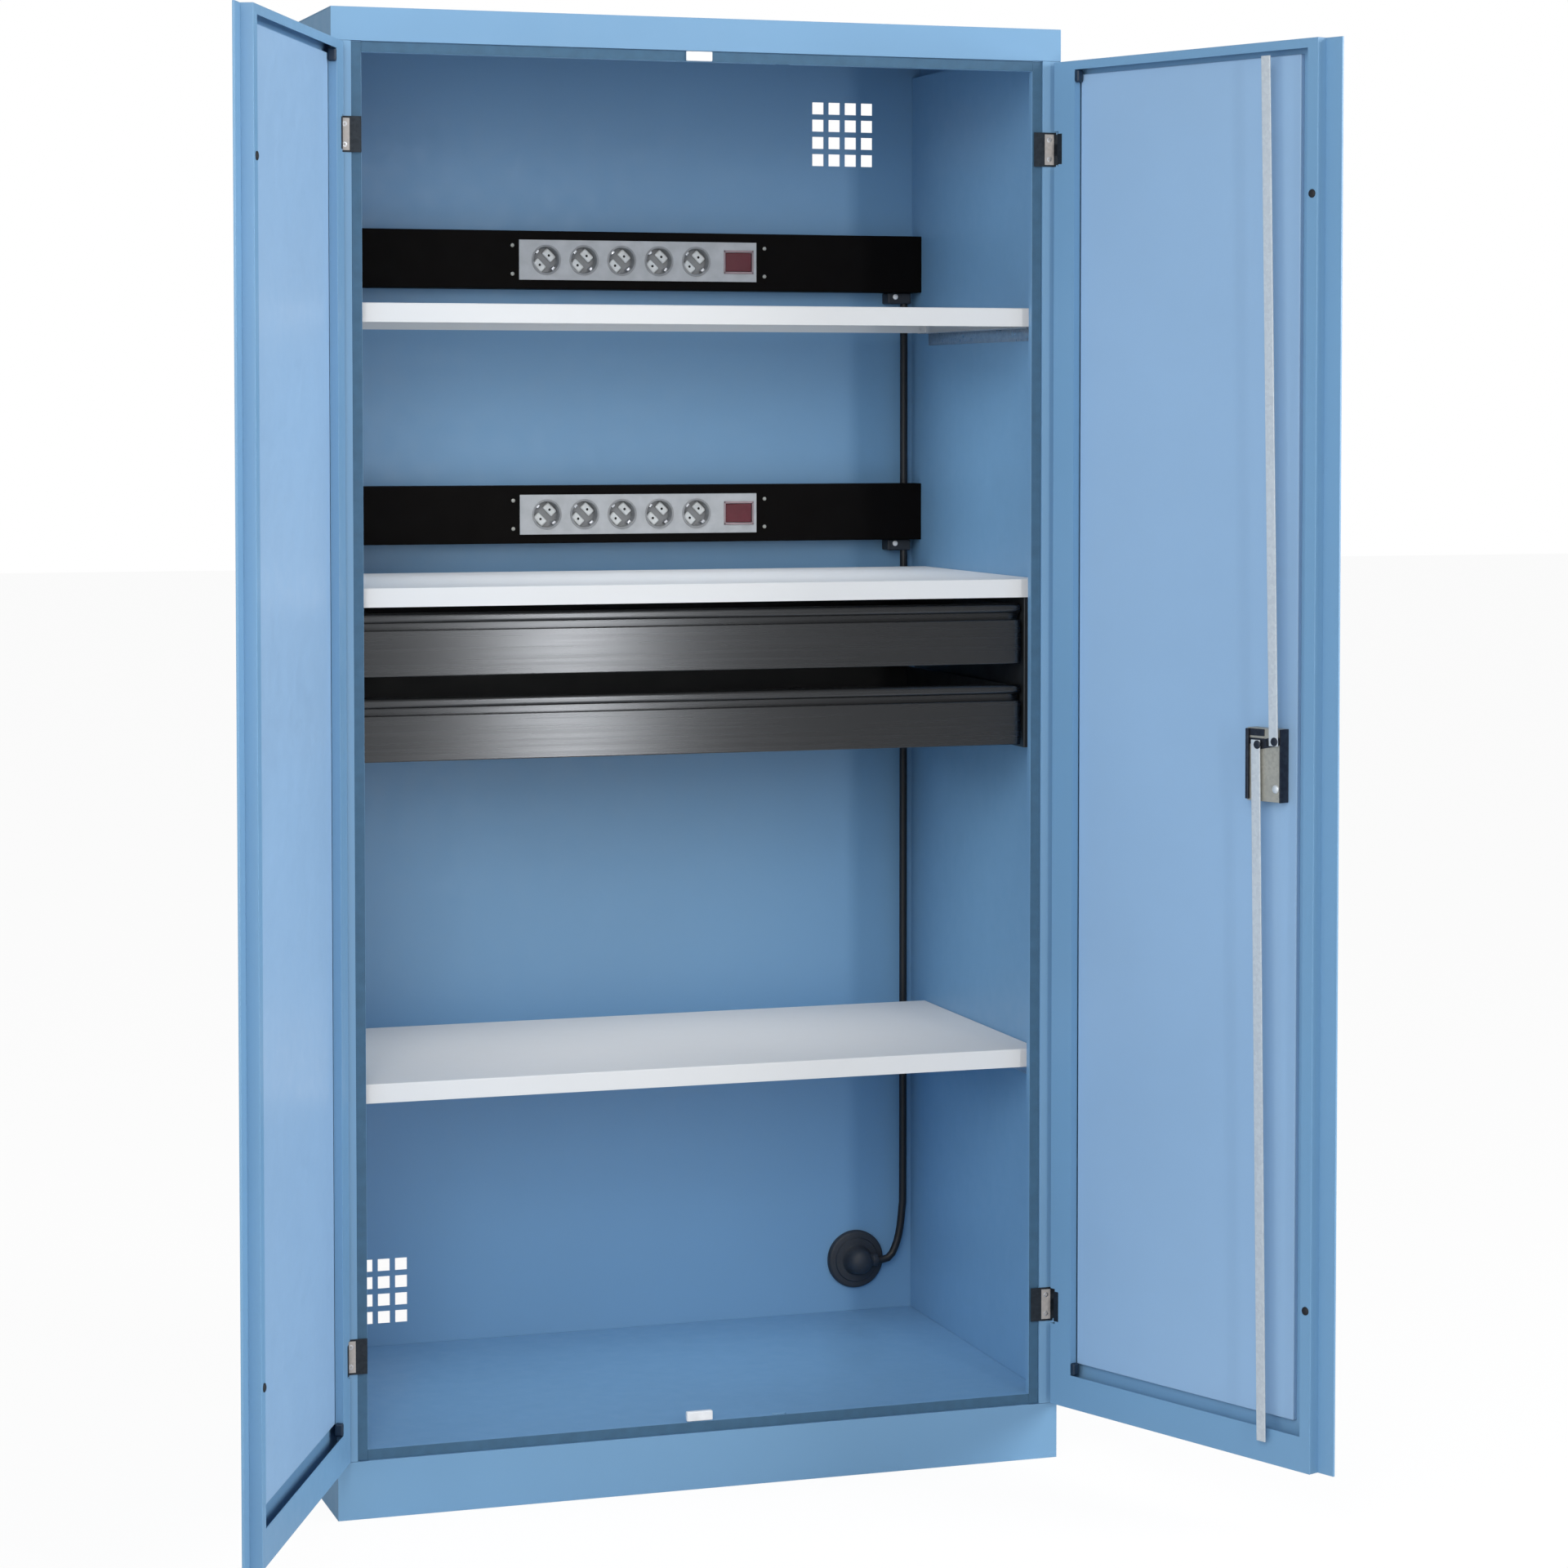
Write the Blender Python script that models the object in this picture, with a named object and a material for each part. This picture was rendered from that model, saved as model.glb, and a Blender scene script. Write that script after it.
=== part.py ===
"""Battery charging cabinet with two doors, three shelves, two drawers and two socket strips.

Units are metres, +Z is up and +Y runs from the front to the back. The origin lies on the floor, at the middle
of the cabinet's width, in the plane of the front frame. The doors stand open, as the cabinet is shown.
"""

import math

import bmesh
import bpy
from mathutils import Matrix, Vector

# Carcass
CABINET_WIDTH = 1.000
CABINET_HEIGHT = 1.950
CARCASS_DEPTH = 0.560
SHEET = 0.0012
LINER_SHEET = 0.0010
WALL_DEPTH = 0.014
BACK_SETBACK = 0.0105
REAR_RETURN = 0.020
SEAM = 0.0003
OVERRUN = 0.010

# Front frame: plinth, fascia, stiles and the lip that runs round the opening
PLINTH_HEIGHT = 0.076
PLINTH_FOOT = 0.040
FASCIA_HEIGHT = 0.043
STILE_WIDTH = 0.026
LIP_WIDTH = 0.014
LIP_SETBACK = 0.004
LIP_HEM = 0.010
FLOOR_DROP = 0.0005
FLOOR_FLANGE = 0.025

# Shelves and the angles that carry them
SHELF_THICKNESS = 0.025
SHELF_SHEET = 0.0010
SHELF_FRONT = 0.030
SHELF_REAR_SPACE = 0.0645
SHELF_PLAY = 0.0008
SHELF_HEIGHT_SHARES = {"upper": 0.79487, "middle": 0.60585, "lower": 0.27513}
ANGLE_LEG = 0.018
ANGLE_SHEET = 0.0012
ANGLE_END_INSET = 0.012

# Power channels, socket strips and rocker switches
CHANNEL_HEIGHT = 0.083
CHANNEL_PROJECTION = 0.0425
CHANNEL_PLAY = 0.0005
CHANNEL_ABOVE_SHELF = {"upper": 0.035, "lower": 0.039}
STRIP_LENGTH = 0.3554
STRIP_HEIGHT = 0.057
STRIP_OFFSET = 0.051
STRIP_PROUD = 0.0025
STRIP_BODY_DEPTH = 0.036
STRIP_RIM = 0.005
STRIP_FIT = 0.0005
SOCKET_COUNT = 5
SOCKET_PITCH = 0.056
SOCKET_FROM_END = 0.040
SOCKET_RADIUS = 0.0195
SOCKET_DEPTH = 0.0170
SOCKET_STEPS = 28
PIN_HOLE_RADIUS = 0.0027
PIN_HOLE_SPACING = 0.019
PIN_HOLE_DEPTH = 0.012
PIN_HOLE_STEPS = 10
PIN_HOLE_TURN = math.radians(45)
ROCKER_LENGTH = 0.0385
ROCKER_HEIGHT = 0.0270
ROCKER_THICKNESS = 0.0060
ROCKER_CREST = 0.0016
ROCKER_FROM_END = 0.027
ROCKER_PLAY = 0.0004
ROCKER_END_PLAY = 0.0009
ROCKER_POCKET_DEPTH = 0.0120
ROCKER_REST = math.radians(-6)

# Cable, clips and the cable outlet in the back
CABLE_DIAMETER = 0.0112
CABLE_FROM_WALL = 0.0195
CABLE_FROM_BACK = 0.0195
CLIP_WIDTH = 0.036
CLIP_HEIGHT = 0.016
CLIP_WALL = 0.0022
CLIP_BORE_PLAY = 0.0004
OUTLET_FROM_WALL = 0.089
OUTLET_HEIGHT = 0.1674
OUTLET_RADIUS = 0.043
OUTLET_THICKNESS = 0.012
OUTLET_HOLE_RADIUS = 0.036
OUTLET_ELBOW_RADIUS = 0.0095
OUTLET_ELBOW_LENGTH = 0.030
OUTLET_BOSS_RADIUS = 0.0190
OUTLET_NOZZLE_RADIUS = 0.0095
OUTLET_NOZZLE_LENGTH = 0.016
OUTLET_STEPS = 32
# The feed cable's bend above the outlet: how far out and up each point lies, as shares
FEED_BEND_DROP = 0.120
FEED_BEND_SHARES = ((1.0, 4.0), (1.0, 1.0), (0.97, 0.62), (0.84, 0.28), (0.58, 0.05), (0.30, 0.0))
# The distance between a route's points, as a share of the cable's diameter
FEED_SPACING_SHARE = 2.5
LEAD_SPACING_SHARE = 2.2

# Vents in the back
VENT_HOLE = 0.0175
VENT_PITCH = 0.0253
VENT_ROWS = 4
VENT_UPPER_FROM_WALL = 0.1095
VENT_UPPER_BELOW_ROOF = 0.107
VENT_LOWER_FROM_WALL = 0.1528
VENT_LOWER_HEIGHT = 0.1688

# Doors
DOOR_THICKNESS = 0.0185
DOOR_STANDOFF = 0.0020
DOOR_SHEET = 0.0010
DOOR_EDGE_GAP = 0.0025
DOOR_HALF_GAP = 0.0015
DOOR_HINGE_LIP = 0.038
DOOR_CLOSING_LIP = 0.0174
DOOR_REBATE = 0.0265
DOOR_REBATE_THICKNESS = 0.0030
DOOR_BOTTOM_LIP = 0.0455
DOOR_TOP_LIP = 0.012
DOOR_LINER_RECESS = 0.0110
DOOR_LINER_FIT = 0.0013
DOOR_GROOVE = 0.0206
DOOR_BOTTOM_GROOVE = 0.015
DOOR_TOP_GROOVE = 0.006
RIGHT_DOOR_REST = math.radians(112.4)
LEFT_DOOR_REST = math.radians(-114.2)

# Hinges
HINGE_SETBACK = 0.004
HINGE_SWING_CLEARANCE = 0.0005
HINGE_HEIGHT = 0.046
HINGE_FROM_TOP = 0.162
HINGE_FROM_BOTTOM = 0.2135
HINGE_KNUCKLE_RADIUS = 0.0040
HINGE_PIN_RADIUS = 0.0019
HINGE_PIN_PLAY = 0.0003
HINGE_KNUCKLE_GAP = 0.0004
HINGE_LEAF_SHEET = 0.0012
HINGE_LEAF_FROM_SIDE = 0.007
HINGE_WEB = 0.0030
HINGE_NOTCH_PLAY = 0.0010
HINGE_NOTCH_WALL = 0.0005
HINGE_PLATE_OVERLAP = 0.006
HINGE_STEPS = 20

# Lock on the right door
SPINDLE_FROM_EDGE = 0.0989
SPINDLE_HEIGHT = 1.011
LOCK_CASE_WIDTH = 0.0572
LOCK_CASE_HEIGHT = 0.094
LOCK_CASE_BELOW_SPINDLE = 0.0757
LOCK_CASE_HINGEWARD = 0.0370
LOCK_CASE_RISE = 0.0155
LOCK_CASE_SHEET = 0.0015
SPINDLE_RADIUS = 0.0040
SPINDLE_PLAY = 0.0006
SPINDLE_STEPS = 20
CAM_PIN_ORBIT = 0.0149
CAM_REST_TURN = math.radians(10.6)
CAM_END_RADIUS = 0.0060
CAM_SHEET = 0.0012
CAM_PIN_RADIUS = 0.0035
CAM_PIN_RISE = 0.0020
ROD_WIDTH = 0.015
ROD_SHEET = 0.0020
ROD_TRAVEL = 0.022
ROD_SLOT_PLAY = 0.0025
ROD_LUG_HEIGHT = 0.012
UPPER_ROD_FROM_SPINDLE = {"lock": 0.0125, "end": -0.0071}
UPPER_ROD_CATCH = 0.015
LOWER_ROD_FROM_SPINDLE = {"lock": -0.0185, "end": -0.0020}
LOWER_ROD_CATCH = 0.0035
LOCK_PLATE_WIDTH = 0.046
LOCK_PLATE_HEIGHT = 0.130
LOCK_PLATE_ABOVE_SPINDLE = 0.040
LOCK_PLATE_SHEET = 0.0030
LOCK_PLATE_BORE_PLAY = 0.0005
HANDLE_HUB_RADIUS = 0.0150
HANDLE_HUB_LENGTH = 0.014
HANDLE_GRIP_LENGTH = 0.078
HANDLE_GRIP_WIDTH = 0.016
HANDLE_GRIP_RISE = 0.016
KEY_BELOW_SPINDLE = 0.055
KEY_RADIUS = 0.0090
KEY_PROUD = 0.0020
KEY_SLOT_WIDTH = 0.0020
KEY_SLOT_HEIGHT = 0.0090
KEY_SLOT_DEPTH = 0.0040

# White stops where the doors meet
STOP_WIDTH = 0.036
STOP_HEIGHT = 0.013
STOP_OFFSET = -0.010
STOP_THICKNESS = 0.0035
STOP_DEPTH = 0.008

# Drawers, their slides and cheeks
DRAWER_FACE = 0.033
DRAWER_FRONT_WIDTH = 0.915
DRAWER_FRONT_HEIGHT = 0.0603
DRAWER_FRONT_THICKNESS = 0.015
DRAWER_BELOW_SHELF = 0.0908
DRAWER_PITCH = 0.1107
GRIP_HEIGHT = 0.022
GRIP_VALLEY = 0.0090
GRIP_REACH = 0.0110
GRIP_SETBACK = 0.0015
GRIP_ROUND = 0.0030
TRAY_WIDTH = 0.888
TRAY_DEPTH = 0.405
TRAY_LIFT = 0.004
TRAY_HEIGHT = 0.078
TRAY_SHEET = 0.0012
RUNNER_HEIGHT = 0.008
RUNNER_LIFT = 0.030
SLIDE_SHEET = 0.0015
SLIDE_PLAY = 0.0005
CHEEK_SHEET = 0.0012
CHEEK_FROM_FRONT = 0.0045
CHEEK_FOOT = 0.004
CHEEK_DEPTH = 0.437

# Mains lead behind the cabinet
COIL_RADIUS = 0.0605
COIL_PITCH = 0.0132
COIL_TURNS_PER_LAYER = 2
COIL_STEPS = 24
COIL_TAIL = 0.036
COIL_CENTRE_X = 0.235
COIL_CENTRE_BEHIND = 0.190
# The lead's way from the nozzle down to the coil: across, behind and up, as shares of the whole way
LEAD_SHARES = ((0.0, 0.22, 0.95), (0.04, 0.36, 0.74), (0.14, 0.43, 0.42), (0.36, 0.47, 0.12),
               (0.66, 0.54, 0.0), (0.92, 0.70, 0.0))
PLUG_LENGTH = 0.046
PLUG_NECK_RADIUS = 0.0090
# The plug's outline between its neck and its face, as shares of its radius and of its length
PLUG_OUTLINE_SHARES = ((0.56, 0.35), (0.90, 0.50), (1.0, 0.62), (1.0, 0.97), (0.95, 1.0))
PLUG_PIN_RADIUS = 0.0024
PLUG_PIN_LENGTH = 0.019
PLUG_STEPS = 24

# Places that follow from the sizes above
HALF_WIDTH = CABINET_WIDTH / 2
INNER_HALF = HALF_WIDTH - WALL_DEPTH
STILE_EDGE = HALF_WIDTH - STILE_WIDTH
LIP_EDGE = STILE_EDGE - LIP_WIDTH
BACK_FACE = CARCASS_DEPTH - BACK_SETBACK
FASCIA_BOTTOM = CABINET_HEIGHT - FASCIA_HEIGHT
HEAD = FASCIA_BOTTOM - LIP_WIDTH
SILL = PLINTH_HEIGHT + LIP_WIDTH
LIP_BACK = LIP_SETBACK + SHEET
HEM_BACK = LIP_SETBACK + LIP_HEM
FLOOR_TOP = SILL - FLOOR_DROP
SHELF_BACK = BACK_FACE - SHELF_REAR_SPACE
CHANNEL_FACE = BACK_FACE - CHANNEL_PROJECTION
CABLE_X = INNER_HALF - CABLE_FROM_WALL
CABLE_Y = BACK_FACE - CABLE_FROM_BACK
OUTLET_X = INNER_HALF - OUTLET_FROM_WALL

DOOR_REACH = DOOR_STANDOFF + DOOR_THICKNESS
PIVOT_OUT = (DOOR_REACH**2 + HINGE_SETBACK**2) / (2 * DOOR_REACH) + HINGE_SWING_CLEARANCE
PIVOT_X = HALF_WIDTH - HINGE_SETBACK
DOOR_INNER_PLANE = PIVOT_OUT - DOOR_STANDOFF
DOOR_EDGE = PIVOT_X - DOOR_HALF_GAP
DOOR_BODY_END = DOOR_EDGE - DOOR_REBATE
DOOR_LIP_START = DOOR_BODY_END - DOOR_CLOSING_LIP
DOOR_LIP_END = DOOR_HINGE_LIP - HINGE_SETBACK
DOOR_BOTTOM = PLINTH_HEIGHT + DOOR_EDGE_GAP
DOOR_TOP = FASCIA_BOTTOM - DOOR_EDGE_GAP
DOOR_WINDOW_BOTTOM = DOOR_BOTTOM + DOOR_BOTTOM_LIP
DOOR_WINDOW_TOP = DOOR_TOP - DOOR_TOP_LIP
DOOR_LINER_START = DOOR_LIP_END + DOOR_SHEET + DOOR_LINER_FIT
DOOR_LINER_END = DOOR_LIP_START - DOOR_GROOVE
DOOR_LINER_BOTTOM = DOOR_WINDOW_BOTTOM + DOOR_BOTTOM_GROOVE
DOOR_LINER_TOP = DOOR_WINDOW_TOP - DOOR_TOP_GROOVE
HINGE_CENTRES = {"top": CABINET_HEIGHT - HINGE_FROM_TOP, "bottom": HINGE_FROM_BOTTOM}
HINGE_NOTCH = HINGE_KNUCKLE_RADIUS + HINGE_NOTCH_WALL
SPINDLE_POSITION = DOOR_EDGE - SPINDLE_FROM_EDGE
LOCK_CASE_START = SPINDLE_POSITION - LOCK_CASE_HINGEWARD
LOCK_CASE_BOTTOM = SPINDLE_HEIGHT - LOCK_CASE_BELOW_SPINDLE
UPPER_ROD_AT = {place: SPINDLE_POSITION + offset for place, offset in UPPER_ROD_FROM_SPINDLE.items()}
LOWER_ROD_AT = {place: SPINDLE_POSITION + offset for place, offset in LOWER_ROD_FROM_SPINDLE.items()}
# With the handle turned, each rod reaches past the edge of its lip by its catch
UPPER_ROD_TOP = HEAD + UPPER_ROD_CATCH - ROD_TRAVEL
LOWER_ROD_BOTTOM = SILL - LOWER_ROD_CATCH + ROD_TRAVEL

# Depths inside the right door, measured from its inner plane towards its outer face
CASE_BASE = DOOR_LINER_RECESS - SEAM
CASE_FACE = CASE_BASE - LOCK_CASE_RISE
CAM_BASE = CASE_FACE - SEAM
CAM_FACE = CAM_BASE - CAM_SHEET
CAM_PIN_TOP = CAM_FACE - CAM_PIN_RISE
ROD_BASE = CAM_PIN_TOP - SEAM
ROD_FACE = ROD_BASE - ROD_SHEET
KEY_HEIGHT = SPINDLE_HEIGHT - KEY_BELOW_SPINDLE
CAM_PIN_ACROSS = CAM_PIN_ORBIT * math.cos(CAM_REST_TURN)
CAM_PIN_UP = CAM_PIN_ORBIT * math.sin(CAM_REST_TURN)

SHELF_BOTTOMS = {name: share * CABINET_HEIGHT for name, share in SHELF_HEIGHT_SHARES.items()}
SHELF_OF_CHANNEL = {"upper": "upper", "lower": "middle"}
CHANNEL_BOTTOMS = {
    name: SHELF_BOTTOMS[SHELF_OF_CHANNEL[name]] + SHELF_THICKNESS + rise
    for name, rise in CHANNEL_ABOVE_SHELF.items()
}
DRAWER_BOTTOMS = {
    "upper": SHELF_BOTTOMS["middle"] - DRAWER_BELOW_SHELF,
    "lower": SHELF_BOTTOMS["middle"] - DRAWER_BELOW_SHELF - DRAWER_PITCH,
}
DRAWER_BACK = DRAWER_FACE + DRAWER_FRONT_THICKNESS
CHEEK_FACE = DRAWER_FRONT_WIDTH / 2 + CHEEK_FROM_FRONT
CHEEK_OUTER = INNER_HALF - SEAM
COIL_END_HEIGHT = CABLE_DIAMETER / 2 + COIL_PITCH

# Colour, roughness and metallic value of each finish
FINISHES = {
    "blue paint": ((0.205, 0.376, 0.630), 0.42, 0.0),
    "light blue paint": ((0.262, 0.434, 0.672), 0.42, 0.0),
    "shelf paint": ((0.840, 0.870, 0.890), 0.45, 0.0),
    "anthracite": ((0.030, 0.032, 0.035), 0.35, 0.6),
    "black": ((0.006, 0.006, 0.007), 0.45, 0.0),
    "grey plastic": ((0.480, 0.490, 0.510), 0.40, 0.0),
    "red plastic": ((0.100, 0.008, 0.016), 0.30, 0.0),
    "dark rubber": ((0.030, 0.033, 0.040), 0.55, 0.0),
    "zinc steel": ((0.540, 0.550, 0.570), 0.35, 0.9),
    "lock steel": ((0.300, 0.295, 0.260), 0.40, 0.8),
    "white plastic": ((0.860, 0.870, 0.880), 0.35, 0.0),
}


def paint(name, finish):
    """Return a new material for one object."""
    colour, roughness, metallic = FINISHES[finish]
    material = bpy.data.materials.new(name)
    material.use_nodes = True
    shader = material.node_tree.nodes["Principled BSDF"]
    shader.inputs["Base Color"].default_value = (*colour, 1.0)
    shader.inputs["Roughness"].default_value = roughness
    shader.inputs["Metallic"].default_value = metallic
    return material


def place(name, shape, parent=None):
    """Turn a bmesh into a linked object."""
    bmesh.ops.recalc_face_normals(shape, faces=shape.faces)
    mesh = bpy.data.meshes.new(name)
    shape.to_mesh(mesh)
    shape.free()
    thing = bpy.data.objects.new(name, mesh)
    bpy.context.collection.objects.link(thing)
    thing.parent = parent
    return thing


def piece(name, shape, finish, parent=None):
    """Make one sub-part with its own material."""
    thing = place(name, shape, parent)
    thing.data.materials.append(paint(name, finish))
    return thing


def rounded(thing):
    """Shade a round piece smooth, with its real edges kept sharp."""
    thing.data.shade_smooth()
    thing.data.set_sharp_from_angle(angle=math.radians(35))
    return thing


def combine(thing, shape, operation):
    """Join a shape to a piece or cut it out, through a Boolean modifier on a hidden helper."""
    helper = place(f"{thing.name}.helper", shape, thing.parent)
    helper.hide_render = True
    helper.display_type = "WIRE"
    modifier = thing.modifiers.new(operation.lower(), "BOOLEAN")
    modifier.operation = operation
    modifier.solver = "EXACT"
    modifier.object = helper


def cut(thing, *shapes):
    """Cut each shape out of a piece."""
    for shape in shapes:
        combine(thing, shape, "DIFFERENCE")


def join(thing, *shapes):
    """Join each shape to a piece."""
    for shape in shapes:
        combine(thing, shape, "UNION")


def prism(outline, low, high, axis="z"):
    """Extrude a closed outline along an axis.

    The outline is in (x, y) along z, in (y, z) along x and in (x, z) along y.
    """
    to_space = {
        "z": lambda a, b, h: (a, b, h),
        "x": lambda a, b, h: (h, a, b),
        "y": lambda a, b, h: (a, h, b),
    }[axis]
    shape = bmesh.new()
    rings = [[shape.verts.new(to_space(a, b, h)) for a, b in outline] for h in (low, high)]
    shape.faces.new(rings[0])
    shape.faces.new(rings[1])
    count = len(outline)
    for i in range(count):
        j = (i + 1) % count
        shape.faces.new((rings[0][i], rings[0][j], rings[1][j], rings[1][i]))
    return shape


def box(x_range, y_range, z_range):
    """Make a box from three ranges."""
    (x0, x1), (y0, y1) = x_range, y_range
    return prism([(x0, y0), (x1, y0), (x1, y1), (x0, y1)], *z_range)


def circle(centre, radius, steps):
    """Return the points of a circle."""
    turns = (math.tau * i / steps for i in range(steps))
    return [(centre[0] + radius * math.cos(t), centre[1] + radius * math.sin(t)) for t in turns]


def merged(shapes):
    """Put shapes that stand apart into one bmesh, for use as a cutter."""
    whole = bmesh.new()
    for shape in shapes:
        mesh = bpy.data.meshes.new("part of a cutter")
        shape.to_mesh(mesh)
        shape.free()
        whole.from_mesh(mesh)
        bpy.data.meshes.remove(mesh)
    return whole


def folded(route, thickness):
    """Return the outline of a folded sheet whose material lies to the right of its route."""
    normals = []
    for (a0, b0), (a1, b1) in zip(route, route[1:]):
        length = math.hypot(a1 - a0, b1 - b0)
        normals.append(((b1 - b0) / length, (a0 - a1) / length))
    offset = []
    for i, (a, b) in enumerate(route):
        before, after = normals[max(i - 1, 0)], normals[min(i, len(normals) - 1)]
        spread = 1 + before[0] * after[0] + before[1] * after[1]
        offset.append((a + (before[0] + after[0]) / spread * thickness,
                       b + (before[1] + after[1]) / spread * thickness))
    return route + offset[::-1]


def mirrored(outline, side):
    """Flip an outline's first coordinate for the left side."""
    return [(side * a, b) for a, b in outline]


def tray(x_range, y_range, z_range, thickness, open_side):
    """Make a thin box that is open on one side, given as 'z+', 'z-', 'y+' or 'y-'."""
    ranges = [x_range, y_range, z_range]
    axis = "xyz".index(open_side[0])
    inner = [[low + thickness, high - thickness] for low, high in ranges]
    end = 1 if open_side[1] == "+" else 0
    inner[axis][end] = ranges[axis][end]
    shape = bmesh.new()

    def corners(spans):
        return {(i, j, k): shape.verts.new((spans[0][i], spans[1][j], spans[2][k]))
                for i in (0, 1) for j in (0, 1) for k in (0, 1)}

    outer_corners, inner_corners = corners(ranges), corners(inner)
    for face_axis in range(3):
        for face_end in (0, 1):
            others = [n for n in range(3) if n != face_axis]
            keys = []
            for p, q in ((0, 0), (1, 0), (1, 1), (0, 1)):
                key = [0, 0, 0]
                key[face_axis] = face_end
                key[others[0]], key[others[1]] = p, q
                keys.append(tuple(key))
            if face_axis == axis and face_end == end:
                for k in range(4):
                    a, b = keys[k], keys[(k + 1) % 4]
                    shape.faces.new((outer_corners[a], outer_corners[b], inner_corners[b], inner_corners[a]))
            else:
                shape.faces.new([outer_corners[key] for key in keys])
                shape.faces.new([inner_corners[key] for key in keys])
    return shape


def turned(profile, steps, place_at):
    """Spin a profile of (radius, height) round its axis and move it to a place.

    The profile starts and ends on the axis.
    """
    shape = bmesh.new()
    rings = []
    for radius, height in profile:
        if radius == 0:
            rings.append([shape.verts.new((0, 0, height))])
        else:
            rings.append([shape.verts.new((a, b, height)) for a, b in circle((0, 0), radius, steps)])
    for low, high in zip(rings, rings[1:]):
        for i in range(steps):
            j = (i + 1) % steps
            corners = [low[i % len(low)], low[j % len(low)], high[j % len(high)], high[i % len(high)]]
            shape.faces.new(list(dict.fromkeys(corners)))
    bmesh.ops.transform(shape, matrix=place_at, verts=shape.verts)
    return shape


def along(direction, position):
    """Return the matrix that lays a turned shape's axis along a direction."""
    turn = Vector(direction).to_track_quat("Z", "Y").to_matrix().to_4x4()
    return Matrix.Translation(Vector(position)) @ turn


def smooth_route(points, spacing):
    """Return evenly spaced points along a smooth curve through the given points."""
    knots = [Vector(p) for p in points]
    knots = [2 * knots[0] - knots[1], *knots, 2 * knots[-1] - knots[-2]]
    dense_steps = 40
    dense = []
    for a, b, c, d in zip(knots, knots[1:], knots[2:], knots[3:]):
        for i in range(dense_steps):
            t = i / dense_steps
            dense.append(0.5 * (2 * b + (c - a) * t + (2 * a - 5 * b + 4 * c - d) * t**2
                                + (3 * b - a - 3 * c + d) * t**3))
    dense.append(knots[-2])
    lengths = [0.0]
    for p, q in zip(dense, dense[1:]):
        lengths.append(lengths[-1] + (q - p).length)
    count = max(2, round(lengths[-1] / spacing))
    result, at = [], 0
    for i in range(count + 1):
        wanted = lengths[-1] * i / count
        while at < len(dense) - 2 and lengths[at + 1] < wanted:
            at += 1
        share = (wanted - lengths[at]) / (lengths[at + 1] - lengths[at])
        result.append(dense[at].lerp(dense[at + 1], share))
    return result


def tube(name, points, diameter, finish, resolution):
    """Make a round cable along points."""
    curve = bpy.data.curves.new(name, "CURVE")
    curve.dimensions = "3D"
    curve.bevel_depth = diameter / 2
    curve.bevel_resolution = resolution
    curve.use_fill_caps = True
    spline = curve.splines.new("POLY")
    spline.points.add(len(points) - 1)
    for point, position in zip(spline.points, points):
        point.co = (*position, 1.0)
    thing = bpy.data.objects.new(name, curve)
    bpy.context.collection.objects.link(thing)
    curve.materials.append(paint(name, finish))
    return thing


def body_frame(name, location, turn=0.0, parent=None, axis="Z"):
    """Make the empty that carries a moving body, on its joint's axis."""
    frame = bpy.data.objects.new(name, None)
    bpy.context.collection.objects.link(frame)
    frame.empty_display_type = "ARROWS"
    frame.parent = parent
    frame.location = location
    frame.rotation_euler["XYZ".index(axis)] = turn
    return frame


def build_roof():
    """Roof sheet with the fascia, the top lip and a rear return."""
    route = [(HEM_BACK, HEAD), (LIP_SETBACK, HEAD), (LIP_SETBACK, FASCIA_BOTTOM), (0, FASCIA_BOTTOM),
             (0, CABINET_HEIGHT), (CARCASS_DEPTH, CABINET_HEIGHT), (CARCASS_DEPTH, CABINET_HEIGHT - REAR_RETURN)]
    roof = piece("roof_panel", prism(folded(route, SHEET), -HALF_WIDTH, HALF_WIDTH, "x"), "blue paint")
    for side in (-1, 1):
        lip_end = sorted((side * (LIP_EDGE - SEAM), side * (HALF_WIDTH + OVERRUN)))
        return_end = sorted((side * (HALF_WIDTH - REAR_RETURN - SEAM), side * (HALF_WIDTH + OVERRUN)))
        side_sheet = sorted((side * (HALF_WIDTH - SHEET - SEAM), side * (HALF_WIDTH + OVERRUN)))
        cut(roof,
            box(lip_end, (-OVERRUN, HEM_BACK + OVERRUN), (HEAD - OVERRUN, FASCIA_BOTTOM + SEAM)),
            box(side_sheet, (SHEET + SEAM, HEM_BACK), (FASCIA_BOTTOM, CABINET_HEIGHT - SHEET - SEAM)),
            box(return_end, (CARCASS_DEPTH - SHEET - OVERRUN, CARCASS_DEPTH + OVERRUN),
                (CABINET_HEIGHT - REAR_RETURN - OVERRUN, CABINET_HEIGHT - SHEET - SEAM)))
    cut(roof, rod_slot(UPPER_ROD_AT["end"], (HEAD - OVERRUN, HEAD + SHEET + OVERRUN / 2)))


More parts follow.
